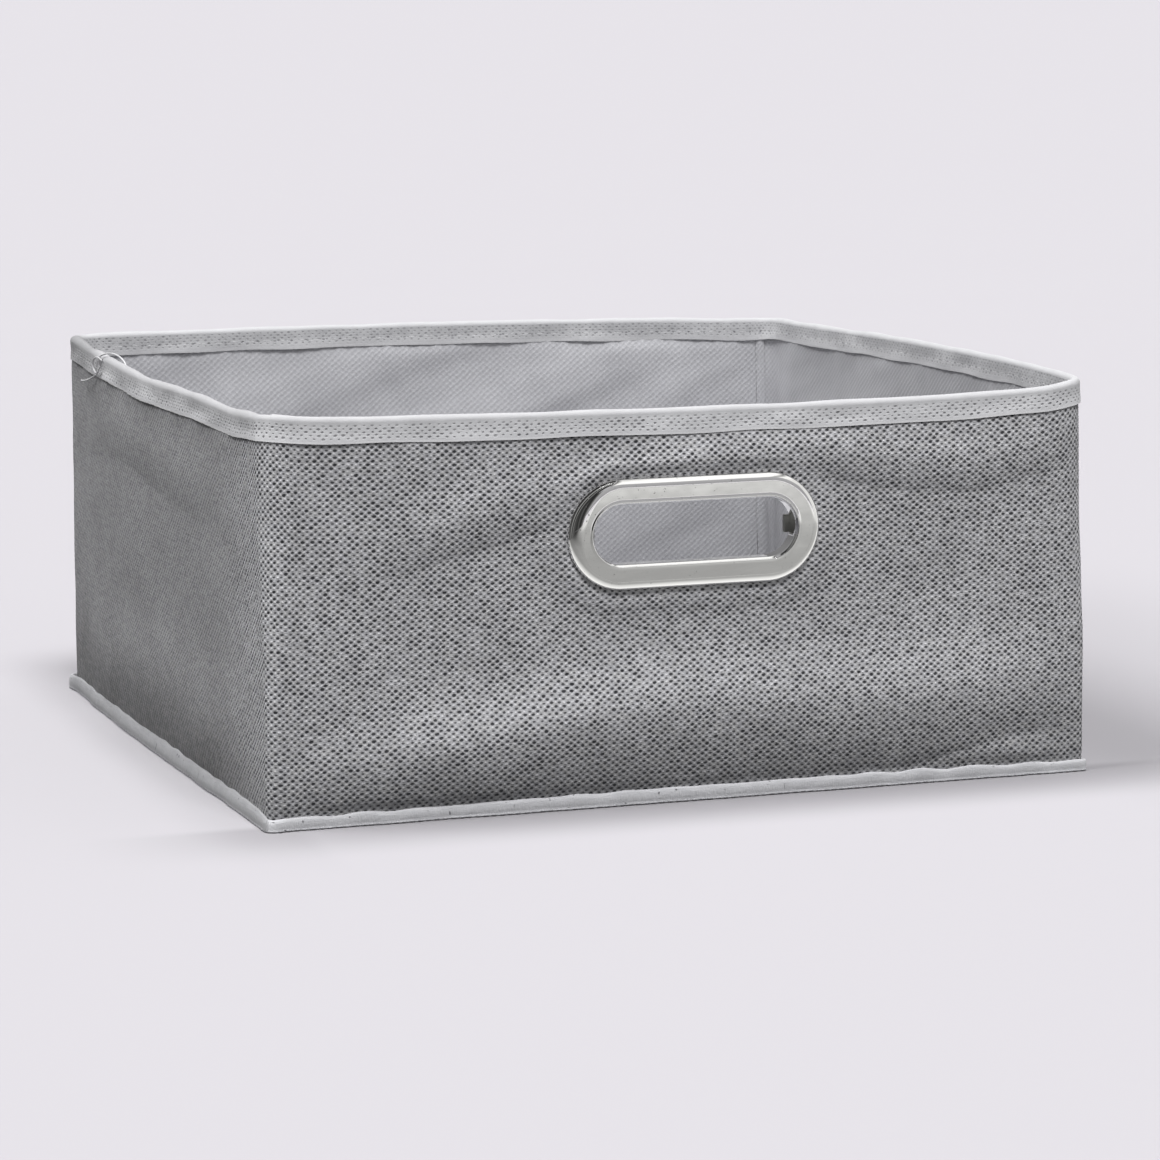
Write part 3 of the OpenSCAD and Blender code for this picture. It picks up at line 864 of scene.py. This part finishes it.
def cutHandleHole(s, z):
    # the slot hides under the ring: grid points beside it are moved onto its edge
    edge = handleRadius - 5.5
    x = s + leftX - handleMiddle[0]
    core = np.clip(x, -handleRun / 2, handleRun / 2)
    dx, dz = x - core, z - handleMiddle[1]
    distance = np.maximum(np.hypot(dx, dz), 1e-6)
    near = np.abs(distance - edge) < 0.75
    push = np.where(near, edge / distance, 1.0)
    s = s + dx * (push - 1)
    z = z + dz * (push - 1)
    distance = np.where(near, edge, distance)
    corners = np.stack([distance[:-1, :-1], distance[:-1, 1:], distance[1:, 1:], distance[1:, :-1]], -1)
    return s, z, corners.mean(-1) > edge + 0.02


def wallGrid(strip, layer):
    # places over one strip of a layer, finer beside the handle, and which faces the handle's slot leaves
    s = stripPlaces(strip[1], strip[2], layer["spacing"])
    holed = strip[0] == "front_left"
    rows = (layer["top"] - layer["bottom"]) / (layer["besideHandle"] if holed else layer["spacing"])
    z = np.linspace(layer["bottom"], layer["top"], int(rows))
    if not holed:
        return *np.meshgrid(s, z), None
    middle = handleMiddle[0] - leftX
    fine = np.arange(middle - handleRun / 2 - 16, middle + handleRun / 2 + 16.1, 1.0)
    s = np.unique(np.round(np.concatenate([s[(s < fine[0] - 0.5) | (s > fine[-1] + 0.5)], fine]), 4))
    return cutHandleHole(*np.meshgrid(s, z))


wrapWalls(outerStrip, outerCloth, "outer_fabric", outerCloth["top"] - outerCloth["bottom"])
print("outer fabric made")


# ---- lining ----

liningCut = {
    "thick": 0.4,
    "bottom": 3.6,
    "top": wallTop - 4.5,
    "spacing": 2.2,
    "besideHandle": 1.4,
    "cornerReach": 6,
    "creaseReach": 8,
    # soft creases of the lining, which stand in from the boards
    "folds": [
        ((800, 78), (690, 124), 9, 14, 1.9),
        ((735, 70), (655, 120), 8, 12, 1.7),
        ((880, 92), (770, 136), 9, 12, 1.1),
        ((920, 60), (850, 110), 10, 14, 1.2),
        ((700, 40), (640, 84), 9, 12, 1.3),
        ((600, 80), (500, 118), 10, 14, 1.4),
        ((480, 60), (380, 108), 10, 16, 1.3),
        ((420, 100), (330, 124), 9, 12, 1.0),
        ((40, 60), (150, 96), 10, 14, 1.1),
        ((170, 70), (280, 110), 10, 14, 1.2),
        ((1000, 70), (1090, 112), 10, 14, 1.2),
        ((1120, 60), (1200, 104), 10, 14, 1.1),
    ],
}
liningDepth = wallThick - liningCut["thick"]


def liningSwell(s, z):
    turned = np.mod(s, girth)
    folds = foldHeight(turned, z, liningCut["folds"])
    uneven = 0.35 * ripple(13, turned + 0.3 * z, z, 46) + 0.12 * ripple(17, turned, z * 1.4, 15)
    nearest = np.abs(np.mod(turned + sideLength[0] / 2, sideLength[0]) - sideLength[0] / 2)
    edges = smooth(z, 4, 24) * (1 - smooth(z, wallTop - 14, wallTop - 6)) * smooth(nearest, 5, 26)
    away = smooth(fromHandle(s, z), handleRadius, handleRadius + 14)
    return np.maximum(folds + uneven + 0.35, 0) * edges * away + 0.02


def liningSurface(s, z):
    return wallPoint(s, z, wallThick + liningSwell(s, z))


def liningStrip(strip):
    s, z, keep = wallGrid(strip, liningCut)
    outer = wallPoint(s, z, liningDepth + liningSwell(s, z))
    return thickSheet("lining_" + strip[0], outer, liningSurface(s, z), np.stack([s, z], -1), liningCloth,
                      surfaceNormals(liningSurface, s, z), keep)


wrapWalls(liningStrip, liningCut, "lining", liningCut["top"] - liningCut["bottom"])
print("lining made")


# ---- stiffening boards, which lean with the walls ----

board = {"outer": 0.95, "inner": 1.75, "top": wallTop - 5, "spacing": 6.0}
for body, start, end in panelPlaces(10, 1):
    node = body + "_board"
    holed = body == "front"
    s = np.linspace(start, end, int((end - start) / (1.0 if holed else board["spacing"])) + 1)
    s, z = np.meshgrid(s, np.linspace(boxOf(node)[0].z, board["top"], 100 if holed else 24))
    keep = None
    if holed:
        s, z, keep = cutHandleHole(s, z)
    piece = thickSheet(node + "_stock", wallPoint(s, z, board["outer"]), wallPoint(s, z, board["inner"]),
                       np.stack([s, z], -1), boardStock, None, keep)
    placed(piece, "stiffening_board", body, node)
print("boards made")


# ---- rim binding: one tape folded over the top edge ----

rim = {
    "flap": 9.2,         # height of each flap
    "thick": 0.55,
    "stitchPitch": 7.0,
    "stitchLong": 5.2,
    "stitchUp": 3.4,     # stitches above the lower edge
    "thread": 0.2,
    "spacing": 1.4,
    "cornerReach": 9,
    "creaseReach": 3,
}
rimHalf = wallThick / 2 + 0.35     # half the distance between the flaps, to the middle of the tape
flapStraight = rim["flap"] - rimHalf - rim["thick"] / 2
rimArc = math.pi * rimHalf
rimRound = 2 * flapStraight + rimArc


def rimSection(s, t):
    # depth and height below the rim top of the tape's middle at t mm round it, and which way it faces
    angle = np.clip((t - flapStraight) / rimHalf, 0, math.pi)
    depth = wallThick / 2 - rimHalf * np.cos(angle)
    below = rim["thick"] / 2 + rimHalf - rimHalf * np.sin(angle)
    below = below + np.maximum(flapStraight - t, 0) + np.maximum(t - flapStraight - rimArc, 0)
    faceOut, faceUp = np.cos(angle), np.sin(angle)
    return depth, below, faceOut, faceUp


def rimPucker(s, t):
    # the flaps lie in at each stitch and stand off a little between them
    circle = np.mod(s, girth)
    ease = np.where(t < rimRound / 2, flapStraight - t, t - flapStraight - rimArc)
    down = smooth(ease, -1.5, 5)
    wave = 0.10 * np.cos(circle * 2 * math.pi / rim["stitchPitch"]) + 0.22 * ripple(23, circle, t, 26)
    lower = 0.22 * (1 + ripple(29, circle, t * 0.2, 38)) * smooth(ease, 3, 7)
    crown = 0.22 * ripple(31, circle, t, 31) * (1 - down)
    onSide = smooth(circle, frontEnd + 10, frontEnd + 60) * 0.55 + 0.75
    return (wave * down + lower + crown) * onSide


def rimSheet(s, t, lift):
    depth, below, faceOut, faceUp = rimSection(s, t)
    off = lift + rimPucker(s, t)
    uneven = 0.28 * ripple(37, np.mod(s, girth), 0 * s, 42) * smooth(below, 4, 9)
    return wallPoint(s, wallTop - below - uneven + faceUp * off, depth - faceOut * off)


def rimSurface(s, t):
    return rimSheet(s, t, rim["thick"] / 2)


def rimGrid(s, steps, outerGap=0, innerGap=0):
    # places along and round the tape, closer together over the fold; the gaps shorten its two flaps
    t = np.concatenate([np.linspace(outerGap, flapStraight, steps),
                        flapStraight + np.linspace(0, rimArc, 13)[1:-1],
                        flapStraight + rimArc + np.linspace(0, flapStraight - innerGap, steps)])
    return np.meshgrid(s, t)


def rimStrip(strip):
    s, t = rimGrid(stripPlaces(strip[1], strip[2], rim["spacing"]), 11)
    return thickSheet("rim_binding_" + strip[0], rimSurface(s, t), rimSheet(s, t, -rim["thick"] / 2),
                      np.stack([s, t], -1), rimTape, surfaceNormals(rimSurface, s, t, 0.25))


wrapWalls(rimStrip, rim, "rim_binding", rimRound)


def rimStitches(start, end):
    # one row on each flap: short threads that dip into the tape at both ends
    first = math.ceil(start / rim["stitchPitch"] - 0.5)
    last = math.floor(end / rim["stitchPitch"] - 0.5)
    middles = (np.arange(first, last) + 1.0) * rim["stitchPitch"]
    share = np.linspace(-0.5, 0.5, 7)
    s = middles[:, None] + share * rim["stitchLong"]
    s = s + rng.normal(0, 0.12, (len(middles), 1))
    arch = 0.16 * (1 - (2 * share) ** 4) - 0.16
    rows = []
    for t, drawnIn in ((rim["stitchUp"], 0.25), (rimRound - rim["stitchUp"], 0.23)):
        where = np.full_like(s, t) + rng.normal(0, 0.12, (len(middles), 1))
        where = where + share * rng.normal(0, 0.25, (len(middles), 1))
        rows.append(rimSheet(s, where, rim["thick"] / 2 + arch + rim["thread"] * 0.5 - drawnIn))
    return np.concatenate(rows)


for body, start, end in panelPlaces(13, 3):
    piece = tubes("rim_stitches_" + body, rimStitches(start, end), rim["thread"], rimThread)
    placed(piece, "thread", body, body + "_rim_stitching")
print("rim binding made")


# ---- overlapped end of the rim tape and loose threads, on the left near the back ----

tapeEnd = {"from": -223, "long": 20, "thick": 0.35}


def overlapEnd():
    s, t = rimGrid(np.linspace(tapeEnd["from"], tapeEnd["from"] + tapeEnd["long"], 30), 10, 0.3, 0.4)
    # full height at the cut end, and under the tape again further on
    lift = rim["thick"] / 2 - 0.05 - 0.45 * smooth(s, tapeEnd["from"] + 5, tapeEnd["from"] + tapeEnd["long"])
    lift = lift - tapeEnd["thick"] * 0.7 * (1 - smooth(s, tapeEnd["from"] - 0.1, tapeEnd["from"] + 1.6))

    def surface(a, b):
        return rimSheet(a, b, lift + tapeEnd["thick"])
    made = thickSheet("rim_tape_end", surface(s, t), rimSheet(s, t, lift), np.stack([s + 3, t], -1), rimTape,
                      surfaceNormals(surface, s, t, 0.25))
    placed(made, "rim_tape", "left_back")


def spline(points, steps):
    # smooth path through a few points
    points = np.array(points, float)
    keys = np.linspace(0, 1, len(points))
    t = np.linspace(0, 1, steps)
    k = np.clip(np.searchsorted(keys, t, side="right") - 1, 0, len(points) - 2)
    padded = np.vstack([2 * points[0] - points[1], points, 2 * points[-1] - points[-2]])
    u = ((t - keys[k]) / (keys[1] - keys[0]))[:, None]
    p0, p1, p2, p3 = padded[k], padded[k + 1], padded[k + 2], padded[k + 3]
    square, cube = 2 * p0 - 5 * p1 + 4 * p2 - p3, 3 * p1 - p0 - 3 * p2 + p3
    return 0.5 * (2 * p1 + (p2 - p0) * u + square * u**2 + cube * u**3)


overlapEnd()
looseEnds = [
    # each thread as (mm round the walls, height, depth), from the stitch it leaves
    [(-229, 138.5, -1.0), (-227, 142.6, -1.4), (-222, 144.3, 0.9), (-214, 144.3, 2.8), (-207, 142.2, 4.0),
     (-203, 138.6, 4.2)],
    [(-224, 141.4, -1.3), (-230, 142, -1.9), (-237, 140.2, -2.1), (-237, 136.8, -2.1), (-231, 135.8, -2.0),
     (-226, 139, -1.5)],
    [(-237, 134.6, -0.9), (-244, 132.2, -1.9), (-254, 130.2, -2.6), (-264, 129.2, -2.3)],
]
for index, points in enumerate(looseEnds):
    bent = spline(points, 34)
    path = wallPoint(bent[:, 0], np.minimum(bent[:, 1], wallTop), bent[:, 2])
    path[:, 2] += np.maximum(bent[:, 1] - wallTop, 0)
    piece = tubes("loose_thread_%d" % (index + 1), path[None], 0.33, rimThread)
    placed(piece, "thread", "left_back")
print("loose ends made")


# ---- seam strip inside the back right corner ----

seamLow, seamHigh = boxOf("corner_seam_strip")


def seamStrip():
    start = rightEnd + (rightX - seamHigh.x)
    s = np.linspace(start, start + (seamHigh.x - seamLow.x), 9)
    z = np.linspace(seamLow.z, wallTop - 6, 60)
    s, z = np.meshgrid(s, z)

    def surface(a, b):
        across = (a - start) / (seamHigh.x - seamLow.x)
        roll = 0.45 * np.sin(np.clip(across, 0, 1) * math.pi)
        return wallPoint(a + 0.35 * ripple(41, b, 0 * b, 30), b, wallThick + liningSwell(a, b) + 0.3 + roll)
    top = surface(s, z)
    under = wallPoint(s, z, wallThick + liningSwell(s, z))
    made = thickSheet("corner_seam_tape", under, top, np.stack([s, z], -1), liningCloth,
                      surfaceNormals(surface, s, z))
    placed(made, "lining", "back", "corner_seam_strip")


seamStrip()


# ---- bottom binding, its stitches and the cloth floor ----

base = {
    "out": 1.1,           # how far it stands out past the walls
    "thick": 1.5,
    "low": 0.04,
    "corner": 1.8,
    "stitchPitch": 3.0,
    "stitchLong": 2.0,
    "stitchUp": 1.0,
    "keep": 0.13,
    # height of its upper edge: (mm round the walls, mm)
    "height": [(0, 4.6), (40, 4.8), (110, 5.4), (190, 5.2), (260, 4.8), (306, 4.2), (420, 5.4), (560, 5.8),
               (700, 5.6), (860, 5.8), (929, 5.8), (1000, 6.2), (1120, 6.3), (1220, 5.6)],
    # how much further out its lower edge lies: (mm round the walls, mm)
    "flare": [(0, 1.0), (12, 0.5), (150, 0.6), (300, 0.4), (330, 0.8), (600, 0.8), (650, 0.5), (900, 0.6),
              (935, 1.0), (1000, 1.5), (1120, 1.7), (1200, 1.5), (1232, 1.1)],
}


def squashed(obj, slot, *nodes):
    placed(obj, slot, "front", *nodes)
    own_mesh(obj)


def bindingPoint(s, t):
    # t runs once round the section: outer face up, over the top, inner face down, underneath
    high = keyed(s, base["height"], girth) + 0.35 * ripple(51, np.mod(s, girth), 0 * s, 18)
    high = high - 0.4 * np.maximum(0, ripple(57, np.mod(s, girth), 0 * s, 55))
    out = base["out"] + 0.25 * ripple(53, np.mod(s, girth), t, 33) + 0.12 * ripple(59, np.mod(s, girth), t, 9)
    back = np.exp(-((np.mod(s, girth) - backEnd) / 9) ** 2) * 1.6     # the corner that stands out
    front = np.exp(-(np.mod(s + 20, girth) - 20) ** 2 / 30) * 0.8
    out = out + back + front
    angle = t * 2 * math.pi
    across = np.sign(np.sin(angle)) * np.abs(np.sin(angle)) ** 0.55     # squared-off oval
    upward = -np.sign(np.cos(angle)) * np.abs(np.cos(angle)) ** 0.45
    depth = base["thick"] / 2 - out - across * base["thick"] / 2
    # the stitch row draws the outer face in
    z = base["low"] + (high - base["low"]) * (upward + 1) / 2
    outer = np.clip(across, 0, 1)
    groove = 0.35 * np.exp(-((z - base["stitchUp"]) / 0.55) ** 2) * outer
    bulge = 0.12 * outer * np.sin(np.clip((z - 1.6) / np.maximum(high - 1.6, 1), 0, 1) * math.pi)
    flare = keyed(s, base["flare"], girth) * outer * (1 - (z - base["low"]) / (high - base["low"]))
    s, z, depth = np.broadcast_arrays(s, z, depth + groove - bulge - flare)
    point, outward = outline(s, np.full(s.shape, base["corner"]))
    xy = point + outward * (bow(s, z) - depth)[..., None]
    return np.concatenate([xy, z[..., None]], -1)


def bindingRing():
    s = np.unique(np.round(np.concatenate([np.arange(0, girth, 1.3)] + [
        corner + np.arange(-4, 4.1, 0.5) for corner in (0, frontEnd, rightEnd, backEnd)]) % girth, 3))
    t = np.arange(26) / 26
    s, t = np.meshgrid(s, t)
    points = bindingPoint(s, t)
    faces = gridFaces(s.shape[0], s.shape[1], True, True)
    return buildMesh("base_binding", points, faces[:, ::-1], baseTape, np.stack([s, t * 16], -1))


squashed(bindingRing(), "base_tape", "front_base_binding", "back_base_binding", "left_base_binding",
         "right_base_binding")


def baseStitches():
    middles = np.arange(base["stitchPitch"], girth - 1, base["stitchPitch"])
    share = np.linspace(-0.5, 0.5, 5)
    s = middles[:, None] + share * base["stitchLong"] + rng.normal(0, 0.12, (len(middles), 1))
    t = np.full_like(s, 0.13) + rng.normal(0, 0.004, (len(middles), 1))
    points = bindingPoint(s, t)
    _, outward = outline(s, np.full(s.shape, base["corner"]))
    arch = 0.14 * (1 - (2 * share) ** 4)
    points[..., :2] += outward * (arch - 0.02)[None, :, None]
    return points


squashed(tubes("base_stitches", baseStitches(), 0.26, baseThread, 6), "thread", "base_binding_stitching")

floorLow, floorHigh = boxOf("floor_fabric")
x, y = np.meshgrid(np.linspace(floorLow.x, floorHigh.x, 90), np.linspace(floorLow.y, floorHigh.y, 90))
sag = 0.22 * ripple(61, x, y, 60) + 0.10 * ripple(63, x, y, 22)
lift = np.clip(0.12 + sag * 0.3, 0, 0.4)
piece = thickSheet("floor_cloth", np.stack([x, y, 0 * x + 0.75], -1), np.stack([x, y, 0.02 + lift * 0.5], -1),
                   np.stack([x, y], -1), floorCloth)
squashed(piece, "floor_cloth", "floor_fabric")
print("bottom made")


# ---- base insert: board wrapped in cloth ----

insertLow, insertHigh = boxOf("insert_top_cover")


def insertCover():
    # a slab with soft edges whose cloth is drawn tight over the board
    half = np.array([(insertHigh.x - insertLow.x) / 2, (insertHigh.y - insertLow.y) / 2])
    centre = np.array([(insertHigh.x + insertLow.x) / 2, (insertHigh.y + insertLow.y) / 2])
    corner, sides = 0.5, []
    bend = np.linspace(0, math.pi / 2, 6)[:, None]
    ease = (1 - np.cos(np.linspace(0, math.pi, 101)[1:-1])) / 2
    for k in range(4):
        tip = (facing[k - 1] + facing[k]) * half
        turned = facing[k - 1] * np.cos(bend) + facing[k] * np.sin(bend)
        arc = tip - (facing[k - 1] + facing[k]) * corner + turned * corner
        last = (facing[k] + travel[k]) * half - travel[k] * corner
        run = arc[-1] + (last - arc[-1]) * ease[:, None]
        drawn = 0.12 * np.sin(ease * math.pi)[:, None]      # the cloth pulls the long edges in a little
        sides.append(np.vstack([arc, run - facing[k] * drawn]))
    edge = np.vstack(sides)
    count = len(edge)
    middle = (insertLow.z + insertHigh.z) / 2
    thick = (insertHigh.z - insertLow.z) / 2
    share = np.concatenate([np.linspace(0.01, 0.9, 30), np.linspace(0.9, 0.992, 12)[1:]])
    rows = []
    for level in (1, -1):
        part = []
        for k in share:
            xy = edge * k
            z = middle + level * thick * np.ones(count)
            slack = 0.16 * ripple(71, xy[:, 0], xy[:, 1], 70) + 0.1 * ripple(73, xy[:, 0], xy[:, 1], 28)
            z = z + level * np.maximum(slack, -0.22) * (1 - smooth(k, 0.9, 0.992)) * (1 if level > 0 else 0.4)
            part.append(np.concatenate([xy + centre, z[:, None]], -1))
        rows.append(part)
    border = []
    for a in np.linspace(0, math.pi, 9)[1:-1]:
        inwards = 1.1 * (1 - math.sin(a))
        length = np.linalg.norm(edge, axis=1, keepdims=True)
        xy = edge * (1 - inwards / length)
        z = middle + thick * math.cos(a) * np.ones(count)
        border.append(np.concatenate([xy + centre, z[:, None]], -1))
    allRows = np.array(rows[0] + border + rows[1][::-1])
    faces = gridFaces(len(allRows), count, closedColumns=True)
    near = np.arange(0, count // 2 - 1)
    cap = np.stack([near, near + 1, count - 2 - near, count - 1 - near], -1)
    lower = (len(allRows) - 1) * count + cap[:, ::-1]
    made = buildMesh("insert_cover", allRows, np.vstack([faces[:, ::-1], cap, lower]), insertCloth,
                     allRows[..., :2])
    placed(made, "insert_cloth", "base_insert", "insert_top_cover", "insert_bottom_cover")


insertCover()
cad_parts["insert_board"].data.materials.clear()
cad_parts["insert_board"].data.materials.append(boardStock)
print("insert made")


# ---- handle ----

handle = {
    "band": 9.3,         # metal between the outer edge and the lip of the grip hole
    "proud": 3.4,
    "edge": 0.7,         # straight outer edge
    "roll": 3.2,         # width of the rolled border
    "rollLeft": 6.0,     # and where it is pressed wider, round the left end
    "lip": 1.25,
    "collar": 0.8,
    "through": 3.8,
    "backWide": 6.5,
    "backThick": 1.2,
}
holeRadius = handleRadius - handle["band"]


def roundedProfile(points, radii, steps=6):
    # closed outline with its corners rounded, and the direction it runs in at each point
    points = np.array(points, float)
    made, running = [], []
    for k, radius in enumerate(radii):
        here, before, after = points[k], points[k - 1], points[(k + 1) % len(points)]
        cut = min(radius, np.linalg.norm(before - here) * 0.48, np.linalg.norm(after - here) * 0.48)
        a, b = here + unit(before - here) * cut, here + unit(after - here) * cut
        for t in np.linspace(0, 1, steps):
            made.append((1 - t) ** 2 * a + 2 * t * (1 - t) * here + t * t * b)
            running.append(unit((1 - t) * (here - a) + t * (b - here)))
    return np.array(made), np.array(running)


halfTurn = np.linspace(-math.pi / 2, math.pi / 2, 61)
straight = np.linspace(1, -1, 14)[1:-1]
sweepMiddles = np.concatenate([np.ones(61), straight, -np.ones(61), -straight])
sweepAngles = np.concatenate([halfTurn, np.full(12, math.pi / 2)])
sweepAngles = np.concatenate([sweepAngles, sweepAngles + math.pi])


def stadiumSweep(section, running, run):
    # section: (distance from the centre line, distance out of the wall), one for all or one for each turn
    x = sweepMiddles[:, None] * (run / 2) + np.cos(sweepAngles)[:, None] * section[..., 0]
    z = np.sin(sweepAngles)[:, None] * section[..., 0]
    y = np.broadcast_to(-section[..., 1], x.shape)
    points = np.stack([x + handleMiddle[0], y + frontLow.y, z + handleMiddle[1]], -1)
    # the section runs from the outer edge out of the wall and inward, so its left side faces out
    away, out = running[..., 1], -running[..., 0]
    normals = -np.stack([np.cos(sweepAngles)[:, None] * away, np.broadcast_to(-out, x.shape),
                         np.sin(sweepAngles)[:, None] * away], -1)
    return points, gridFaces(points.shape[0], points.shape[1], True, True), normals


def frontRing():
    edge = handleRadius
    collarEnd = handle["through"]
    proud, lip = handle["proud"], handle["lip"]
    turn = np.linspace(0, math.pi / 2, 16)
    rise = proud - handle["edge"]

    def profile(roll):
        corners = [
            (edge - roll, proud), (holeRadius + lip + 0.4, proud), (holeRadius + lip * 0.55, proud + 0.22),
            (holeRadius, proud - lip), (holeRadius, -collarEnd), (holeRadius + handle["collar"], -collarEnd),
            (holeRadius + handle["collar"], -0.15), (edge, -0.15),
        ]
        flat, flatRun = roundedProfile(corners, [0.1, 0.3, 0.35, 0.6, 0.3, 0.3, 0.2, 0.2])
        # the outer border rolls over from the wall to the face
        border = np.stack([edge - roll * (1 - np.cos(turn)), handle["edge"] + rise * np.sin(turn)], -1)
        borderRun = unit(np.stack([-roll * np.sin(turn), rise * np.cos(turn)], -1))
        return np.vstack([flat, border]), np.vstack([flatRun, borderRun])
    plain, wide = profile(handle["roll"]), profile(handle["rollLeft"])
    share = np.exp(-((sweepAngles - math.radians(160)) / 0.75) ** 2)[:, None, None]
    section = plain[0] + (wide[0] - plain[0]) * share
    running = unit(plain[1] + (wide[1] - plain[1]) * share)
    points, faces, normals = stadiumSweep(section, running, handleRun)
    made = buildMesh("handle_front", points, faces, chrome, None, normals)
    placed(made, "chrome", "front", "handle_front_ring")


def lugs():
    # retaining tabs bent over the ends of the collar
    reach, foot = 2.4, 2.0
    inner = handleRun / 2 + holeRadius - reach
    outer = inner + reach + handle["collar"] + foot
    near = frontLow.y + wallThick + handle["backThick"] - 0.1
    corners = np.array([(inner, near, -3.2), (outer, near, -3.2), (outer, near, 3.2), (inner, near, 3.2),
                        (inner, near + 1.5, -3.2), (outer, near + 1.5, -3.2), (outer, near + 1.5, 3.2),
                        (inner, near + 1.5, 3.2)])
    sides = [(0, 1, 2, 3), (7, 6, 5, 4), (0, 4, 5, 1), (2, 6, 7, 3), (1, 5, 6, 2), (3, 7, 4, 0)]
    points, faces = [], []
    for k, side in enumerate((1, -1)):
        points.append(corners * (side, 1, 1) + (handleMiddle[0], 0, handleMiddle[1]))
        faces += [tuple(v + 8 * k for v in (f if side > 0 else f[::-1])) for f in sides]
    made = buildMesh("handle_lugs", np.vstack(points), faces, darkChrome)
    made.data.polygons.foreach_set("use_smooth", np.zeros(len(faces), bool))
    bevel = made.modifiers.new("edges", "BEVEL")
    bevel.width = 0.35 * mm
    bevel.segments = 3
    placed(made, "chrome", "front")


def backRing():
    inner = holeRadius + handle["collar"] + 0.05
    outer = inner + handle["backWide"]
    face = wallThick
    corners = [(inner, -face), (outer, -face), (outer, -face - handle["backThick"] * 0.6),
               (outer - 0.8, -face - handle["backThick"]), (inner, -face - handle["backThick"])]
    section, running = roundedProfile(corners, [0.1, 0.1, 0.4, 0.5, 0.4])
    points, faces, _ = stadiumSweep(section, running, handleRun)
    made = buildMesh("handle_back", points, faces, darkChrome)
    placed(made, "chrome", "front", "handle_back_ring")


frontRing()
backRing()
lugs()
print("handle made")


# ---- floor, world and lights ----

def addSun(name, towards, strength, angle):
    data = bpy.data.lights.new(name, "SUN")
    data.energy = strength
    data.angle = math.radians(angle)
    made = bpy.data.objects.new(name, data)
    made.rotation_mode = "QUATERNION"
    made.rotation_quaternion = Vector(towards).to_track_quat("Z", "Y")
    bpy.context.scene.collection.objects.link(made)


def addFloor():
    made, start, shader = newMaterial("studio_floor")
    x, y, _ = place(start).parts()
    # soft shade close to the bin, deepest along the front
    def patch(alongX, alongY):
        # 1 inside four fades, each (from, to)
        return (x.step(*alongX[:2]) * (1.0 - x.step(*alongX[2:]))
                * y.step(*alongY[:2]) * (1.0 - y.step(*alongY[2:])))
    right = patch((130, 190, 250, 430), (-250, -120, 160, 420)) * 0.14
    front = patch((-230, -110, 120, 230), (-206, -157, -150, -140)) * 0.32
    left = patch((-188, -160, -150, -140), (-240, -120, 10, 110)) * 0.10
    colour = right.mix((*studio["floorColour"], 1), grey(0.0))
    colour = (front + left).mix(colour, grey(0.0))
    setShader(shader, start, {"Base Color": colour}, Roughness=1.0, Specular_IOR_Level=0.0)
    size = studio["floorSize"] / mm
    corners = np.array([(-size, -size, 0), (size, -size, 0), (size, size, 0), (-size, size, 0)], float)
    floor = buildMesh("studio_floor", corners, [[0, 1, 2, 3]], made)
    floor.location.z = -0.0001
    floor.visible_diffuse = False     # the walls get their light from below from the world instead


def addWorld():
    world = bpy.data.worlds.new("studio")
    bpy.context.scene.world = world
    world.use_nodes = True
    tree = world.node_tree
    background = tree.nodes["Background"]
    start = Wire(tree, tree.nodes.new("ShaderNodeTexCoord").outputs["Generated"])
    x, y, z = start.parts()
    up = z.step(0.0, 0.9)
    ahead = (y * -1.0 + x * 0.5).step(-0.9, 0.9)
    sky = up * (studio["worldTop"] - studio["worldSide"]) + studio["worldSide"] * (0.6 + 0.8 * ahead)
    above = z.step(-0.06, 0.06)
    level = above * sky + (1.0 - above) * studio["worldBelow"]
    colour = level.mix((0, 0, 0, 1), (1, 0.995, 1.02, 1))
    tree.links.new(colour.socket, background.inputs["Color"])
    background.inputs["Strength"].default_value = 1.0


def addCard(name, corners, levels):
    # a panel that only shows in the metal; its brightness is stored along one side of its map
    made, start, shader = newMaterial(name)
    _, level, _ = start.scaled((1, 1000, 1)).parts()
    setShader(shader, start, {"Emission Color": level.joined(level, level * 0.985)}, Base_Color=grey(0.0),
              Roughness=1.0, Emission_Strength=1.0, Specular_IOR_Level=0.0)
    levels = np.array(levels)
    a, b, c, d = np.array(corners, float)
    down, across = [np.linspace(0, 1, n)[:, None] for n in levels.shape]
    first, last = a + (b - a) * across, d + (c - d) * across
    points = first[None] + (last - first)[None] * down[:, None]
    uv = np.stack([np.broadcast_to(across[:, 0], levels.shape), levels], -1)
    card = buildMesh(name, points, gridFaces(*levels.shape), made, uv)
    card.visible_diffuse = False
    card.visible_shadow = False
    card.visible_camera = False


addFloor()
addWorld()
addSun("fill", studio["fillFrom"], studio["fillStrength"], studio["fillAngle"])
addSun("side", studio["sideFrom"], studio["sideStrength"], studio["sideAngle"])
for name, corners, levels in cards:
    addCard(name, corners, levels)
print("studio made")
